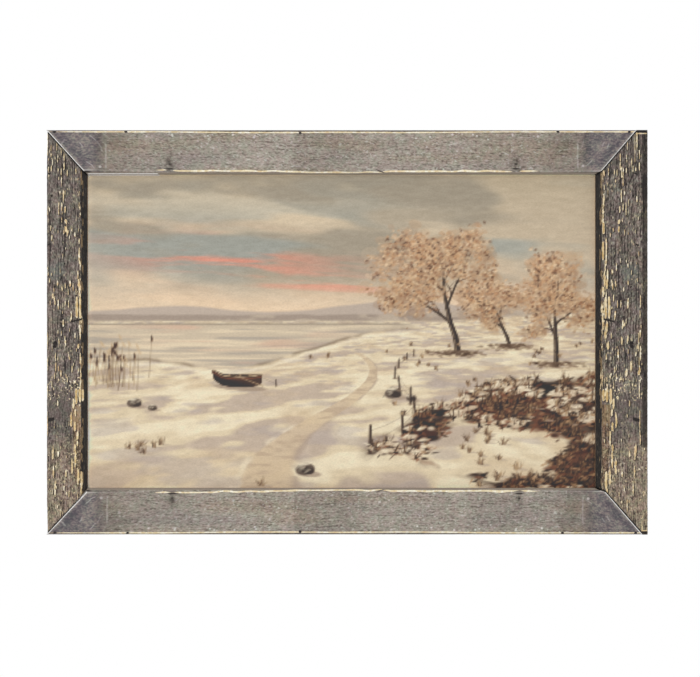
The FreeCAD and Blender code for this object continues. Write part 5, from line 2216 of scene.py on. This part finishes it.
class Hardware:
    """The boards behind the print, the metal and the felt, each finished as its node, and the V-nails."""

    nail_reach = 5.2
    nail_depth = 1.8
    nail_thickness = 0.5
    nail_offsets = (0.34, 0.68)
    nail_softness = 0.8
    nail_slope = 0.8
    nail_steps = 6
    nail_sunk = 0.06
    screen_spacing = 0.0021

    def build(self) -> None:
        """Dresses the carried-over nodes and adds the V-nails."""
        steel = self.steel("plated_steel", (176, 176, 170), (206, 205, 199), 0.32)
        finishes = {
            "mounting_board": self.card(),
            "backing_board": self.hardboard(),
            "sawtooth_hanger": steel,
            "hanger_nail": steel,
            "turn_screw": steel,
            "turn_button": self.steel("black_steel", (34, 34, 36), (58, 57, 58), 0.42),
            "wall_bumper": self.felt(),
        }
        for piece in bpy.data.objects:
            for start, material in finishes.items():
                if piece.type == "MESH" and piece.name.startswith(start):
                    piece.data.materials.clear()
                    piece.data.materials.append(material)
        self.add_corner_nails(steel)

    def card(self) -> Material:
        """Makes off-white card with fine fibres.

        Returns:
            The material.
        """
        shader = Shader("mount_card", 0.9)
        fibre = shader.noise(shader.coordinates((1, 1, 0.4)), 900, 3)
        shader.colour(shader.ramp(fibre, (0.3, 0.7), ((206, 200, 186), (230, 225, 212))))
        shader.bump(fibre, 0.0002, 0.4)
        return shader.material

    def hardboard(self) -> Material:
        """Makes brown pressed fibre, mottled, with the screen pattern of its rough side.

        Returns:
            The material.
        """
        shader = Shader("pressed_hardboard", 0.78)
        plain = shader.coordinates()
        fleck = shader.noise(plain, 640, 3)
        browns = ((112, 77, 49), (124, 87, 57), (137, 98, 66))
        colour = shader.ramp(shader.noise(plain, 26, 4), (0.3, 0.52, 0.74), browns)
        colour = shader.cover(colour, (78, 50, 32), fleck, 0.56, 0.7, 0.5)
        colour = shader.cover(colour, (178, 138, 98), fleck, 0.42, 0.3, 0.4)
        place = shader.node("ShaderNodeSeparateXYZ", {"Vector": plain})
        turns = 2 * math.pi / self.screen_spacing
        waves = [shader.sum("SINE", shader.scale(place.outputs[axis], turns), 0) for axis in "XZ"]
        weave = shader.sum("MULTIPLY", *waves)
        shader.colour(shader.cover(colour, (84, 56, 36), weave, 0.1, 0.9, 0.25))
        shader.bump(shader.sum("ADD", weave, fleck), 0.0002, 0.6)
        return shader.material

    def steel(self, name: str, dull: Colour, bright: Colour, rough: float) -> Material:
        """Makes thin sheet metal: mottled plating or black lacquer, with fine scratches.

        Args:
            name: the finish's name.
            dull: colour of its dull patches.
            bright: colour of its bright ones.
            rough: how matt it is.

        Returns:
            The material.
        """
        shader = Shader(name, rough, 1.0 if rough < 0.4 else 0.25)
        mottle = shader.noise(shader.coordinates(), 260, 4)
        scratch = shader.noise(shader.coordinates((1, 1, 9)), 700, 2)
        colour = shader.ramp(mottle, (0.35, 0.65), (dull, bright))
        worn = tuple(min(255, level + 40) for level in bright)
        shader.colour(shader.cover(colour, worn, scratch, 0.62, 0.76, 0.5))
        shader.feed(shader.surface.inputs["Roughness"], shader.vary(rough, mottle, 0.35))
        shader.bump(scratch, 0.00004, 0.5)
        return shader.material

    def felt(self) -> Material:
        """Makes grey-brown pressed felt with loose fibres.

        Returns:
            The material.
        """
        shader = Shader("pressed_felt", 1.0)
        fibre = shader.noise(shader.coordinates(), 1500, 4, 0.7)
        browns = ((66, 56, 48), (96, 84, 72), (132, 118, 102))
        shader.colour(shader.ramp(fibre, (0.32, 0.5, 0.68), browns))
        shader.bump(fibre, 0.0005, 0.9)
        return shader.material

    def add_corner_nails(self, material: Material) -> None:
        """Presses two V-nails across the back of each mitre.

        Args:
            material: their finish.
        """
        boxes = board_boxes()
        for rail in (Side.TOP, Side.BOTTOM):
            for stile in (Side.LEFT, Side.RIGHT):
                # The rail's outer corner, and the inner corner where its sight edge meets the stile's.
                out_x, out_z = int(stile is Side.RIGHT), int(rail is Side.TOP)
                outer = Vector((boxes[rail][out_x].x, boxes[rail][out_z].z))
                seam = Vector((boxes[stile][1 - out_x].x, boxes[rail][1 - out_z].z)) - outer
                for number, share in enumerate(self.nail_offsets, 1):
                    name = f"corner_nail_{rail.value}_{stile.value}_{number}"
                    self.add_corner_nail(name, outer + seam * share, seam.normalized(), material)

    def add_corner_nail(self, name: str, middle: Vector, seam: Vector, material: Material) -> None:
        """Models one V-nail: a bent strip whose point lies on the mitre.

        Args:
            name: the piece's name.
            middle: where its bend is, across and up, in millimetres.
            seam: direction of the mitre, outwards in.
            material: its finish.
        """
        side = Vector((-seam.y, seam.x))
        outline = []
        for thickness in (0, self.nail_thickness):
            row = []
            for step in range(-self.nail_steps, self.nail_steps + 1):
                off = self.nail_reach * step / self.nail_steps
                curve = math.sqrt(off**2 + self.nail_softness) * self.nail_slope
                row.append(middle + side * off + seam * (curve + thickness))
            outline += reversed(row) if thickness else row
        piece = new_outline(name, len(outline), True)
        places = [(point.x * MM, self.nail_sunk * MM, point.y * MM) for point in outline]
        piece.data.vertices.foreach_set("co", np.array(places).ravel())
        with edit_mode():
            bpy.ops.mesh.select_all(action="SELECT")
            bpy.ops.mesh.extrude_region_move(TRANSFORM_OT_translate={"value": (0, -self.nail_depth * MM, 0)})
        face_outwards()
        piece.data.materials.append(material)
        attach(piece, FRAME_BODY)


class Studio:
    """A white studio: a soft key from the upper left, even fill, a pale floor and a long lens."""

    lens = 200.0
    sensor = 36.0
    floor_size = 3.0
    floor_drop = 0.95
    floor_white = 0.82
    fill_light = 0.73
    key_offset = (-0.9, -2.3, 0.8)
    key_size = 1.1
    key_watts = 17.0

    def build(self) -> None:
        """Lights the object and sets up the camera."""
        low, high = (Vector(corner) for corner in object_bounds())
        middle = (low + high) / 2
        self.light_world()
        self.add_key(middle)
        self.add_floor(low.z)
        self.add_camera(middle, low.y)

    def light_world(self) -> None:
        """White where the camera, gloss or glass looks, and an even dimmer light on the object."""
        world = bpy.data.worlds.new("studio")
        bpy.context.scene.world = world
        world.use_nodes = True
        nodes, links = world.node_tree.nodes, world.node_tree.links
        path = nodes.new("ShaderNodeLightPath")
        seen = path.outputs["Is Camera Ray"]
        for ray in ("Is Glossy Ray", "Is Transmission Ray"):
            either = nodes.new("ShaderNodeMath")
            either.operation = "MAXIMUM"
            links.new(seen, either.inputs[0])
            links.new(path.outputs[ray], either.inputs[1])
            seen = either.outputs[0]
        level = nodes.new("ShaderNodeMapRange")
        level.inputs["To Min"].default_value = self.fill_light
        links.new(seen, level.inputs["Value"])
        links.new(level.outputs["Result"], nodes["Background"].inputs["Strength"])
        nodes["Background"].inputs["Color"].default_value = (1, 1, 1, 1)

    def add_key(self, middle: Vector) -> None:
        """Adds a large soft light at the upper left.

        Args:
            middle: the object's middle, at which it points.
        """
        place = middle + Vector(self.key_offset)
        bpy.ops.object.light_add(type="AREA", location=place)
        lamp = named("key")
        lamp.data.shape = "DISK"
        lamp.data.size = self.key_size
        lamp.data.energy = self.key_watts
        lamp.rotation_euler = (middle - place).to_track_quat("-Z", "Y").to_euler()

    def add_floor(self, lowest: float) -> None:
        """Adds a plain pale floor well below the hanging picture, lighter where the camera sees it.

        Args:
            lowest: height of the object's lowest point.
        """
        bpy.ops.mesh.primitive_plane_add(size=self.floor_size, location=(0, 0, lowest - self.floor_drop))
        floor = named("floor")
        shader = Shader("pale_floor", 0.9)
        shader.colour(srgb(236, 236, 234))
        path, white = shader.node("ShaderNodeLightPath"), shader.node("ShaderNodeEmission")
        share = shader.scale(path.outputs["Is Camera Ray"], self.floor_white)
        inputs = {"Fac": share, 1: shader.surface.outputs[0], 2: white.outputs[0]}
        mixed = shader.node("ShaderNodeMixShader", inputs)
        shader.feed(shader.tree.nodes["Material Output"].inputs["Surface"], mixed.outputs[0])
        floor.data.materials.append(shader.material)
        floor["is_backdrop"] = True

    def add_camera(self, middle: Vector, front: float) -> None:
        """Puts the camera square to the picture, where the photograph's frame puts it.

        Args:
            middle: the object's middle.
            front: how far forward the object comes.
        """
        off_right = (PHOTO.width_px / 2 - (PHOTO.left_px + PHOTO.right_px) / 2) * PHOTO.mm_per_px * MM
        off_down = (PHOTO.height_px / 2 - (PHOTO.top_px + PHOTO.bottom_px) / 2) * PHOTO.mm_per_px * MM
        distance = PHOTO.width_px * PHOTO.mm_per_px * MM * self.lens / self.sensor
        place = Vector((middle.x + off_right, front - distance, middle.z - off_down))
        bpy.ops.object.camera_add(location=place, rotation=(math.pi / 2, 0, 0))
        camera = named("camera")
        camera.data.lens = self.lens
        camera.data.sensor_width = self.sensor
        bpy.context.scene.camera = camera


def main() -> None:
    """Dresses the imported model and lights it."""
    logging.basicConfig(level=logging.INFO, format="%(name)s %(message)s")
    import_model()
    Studio().build()
    PictureFrame().build()
    ArtPrint().build()
    Hardware().build()
    bpy.context.scene.view_settings.view_transform = "Standard"


if __name__ == "__main__":
    main()
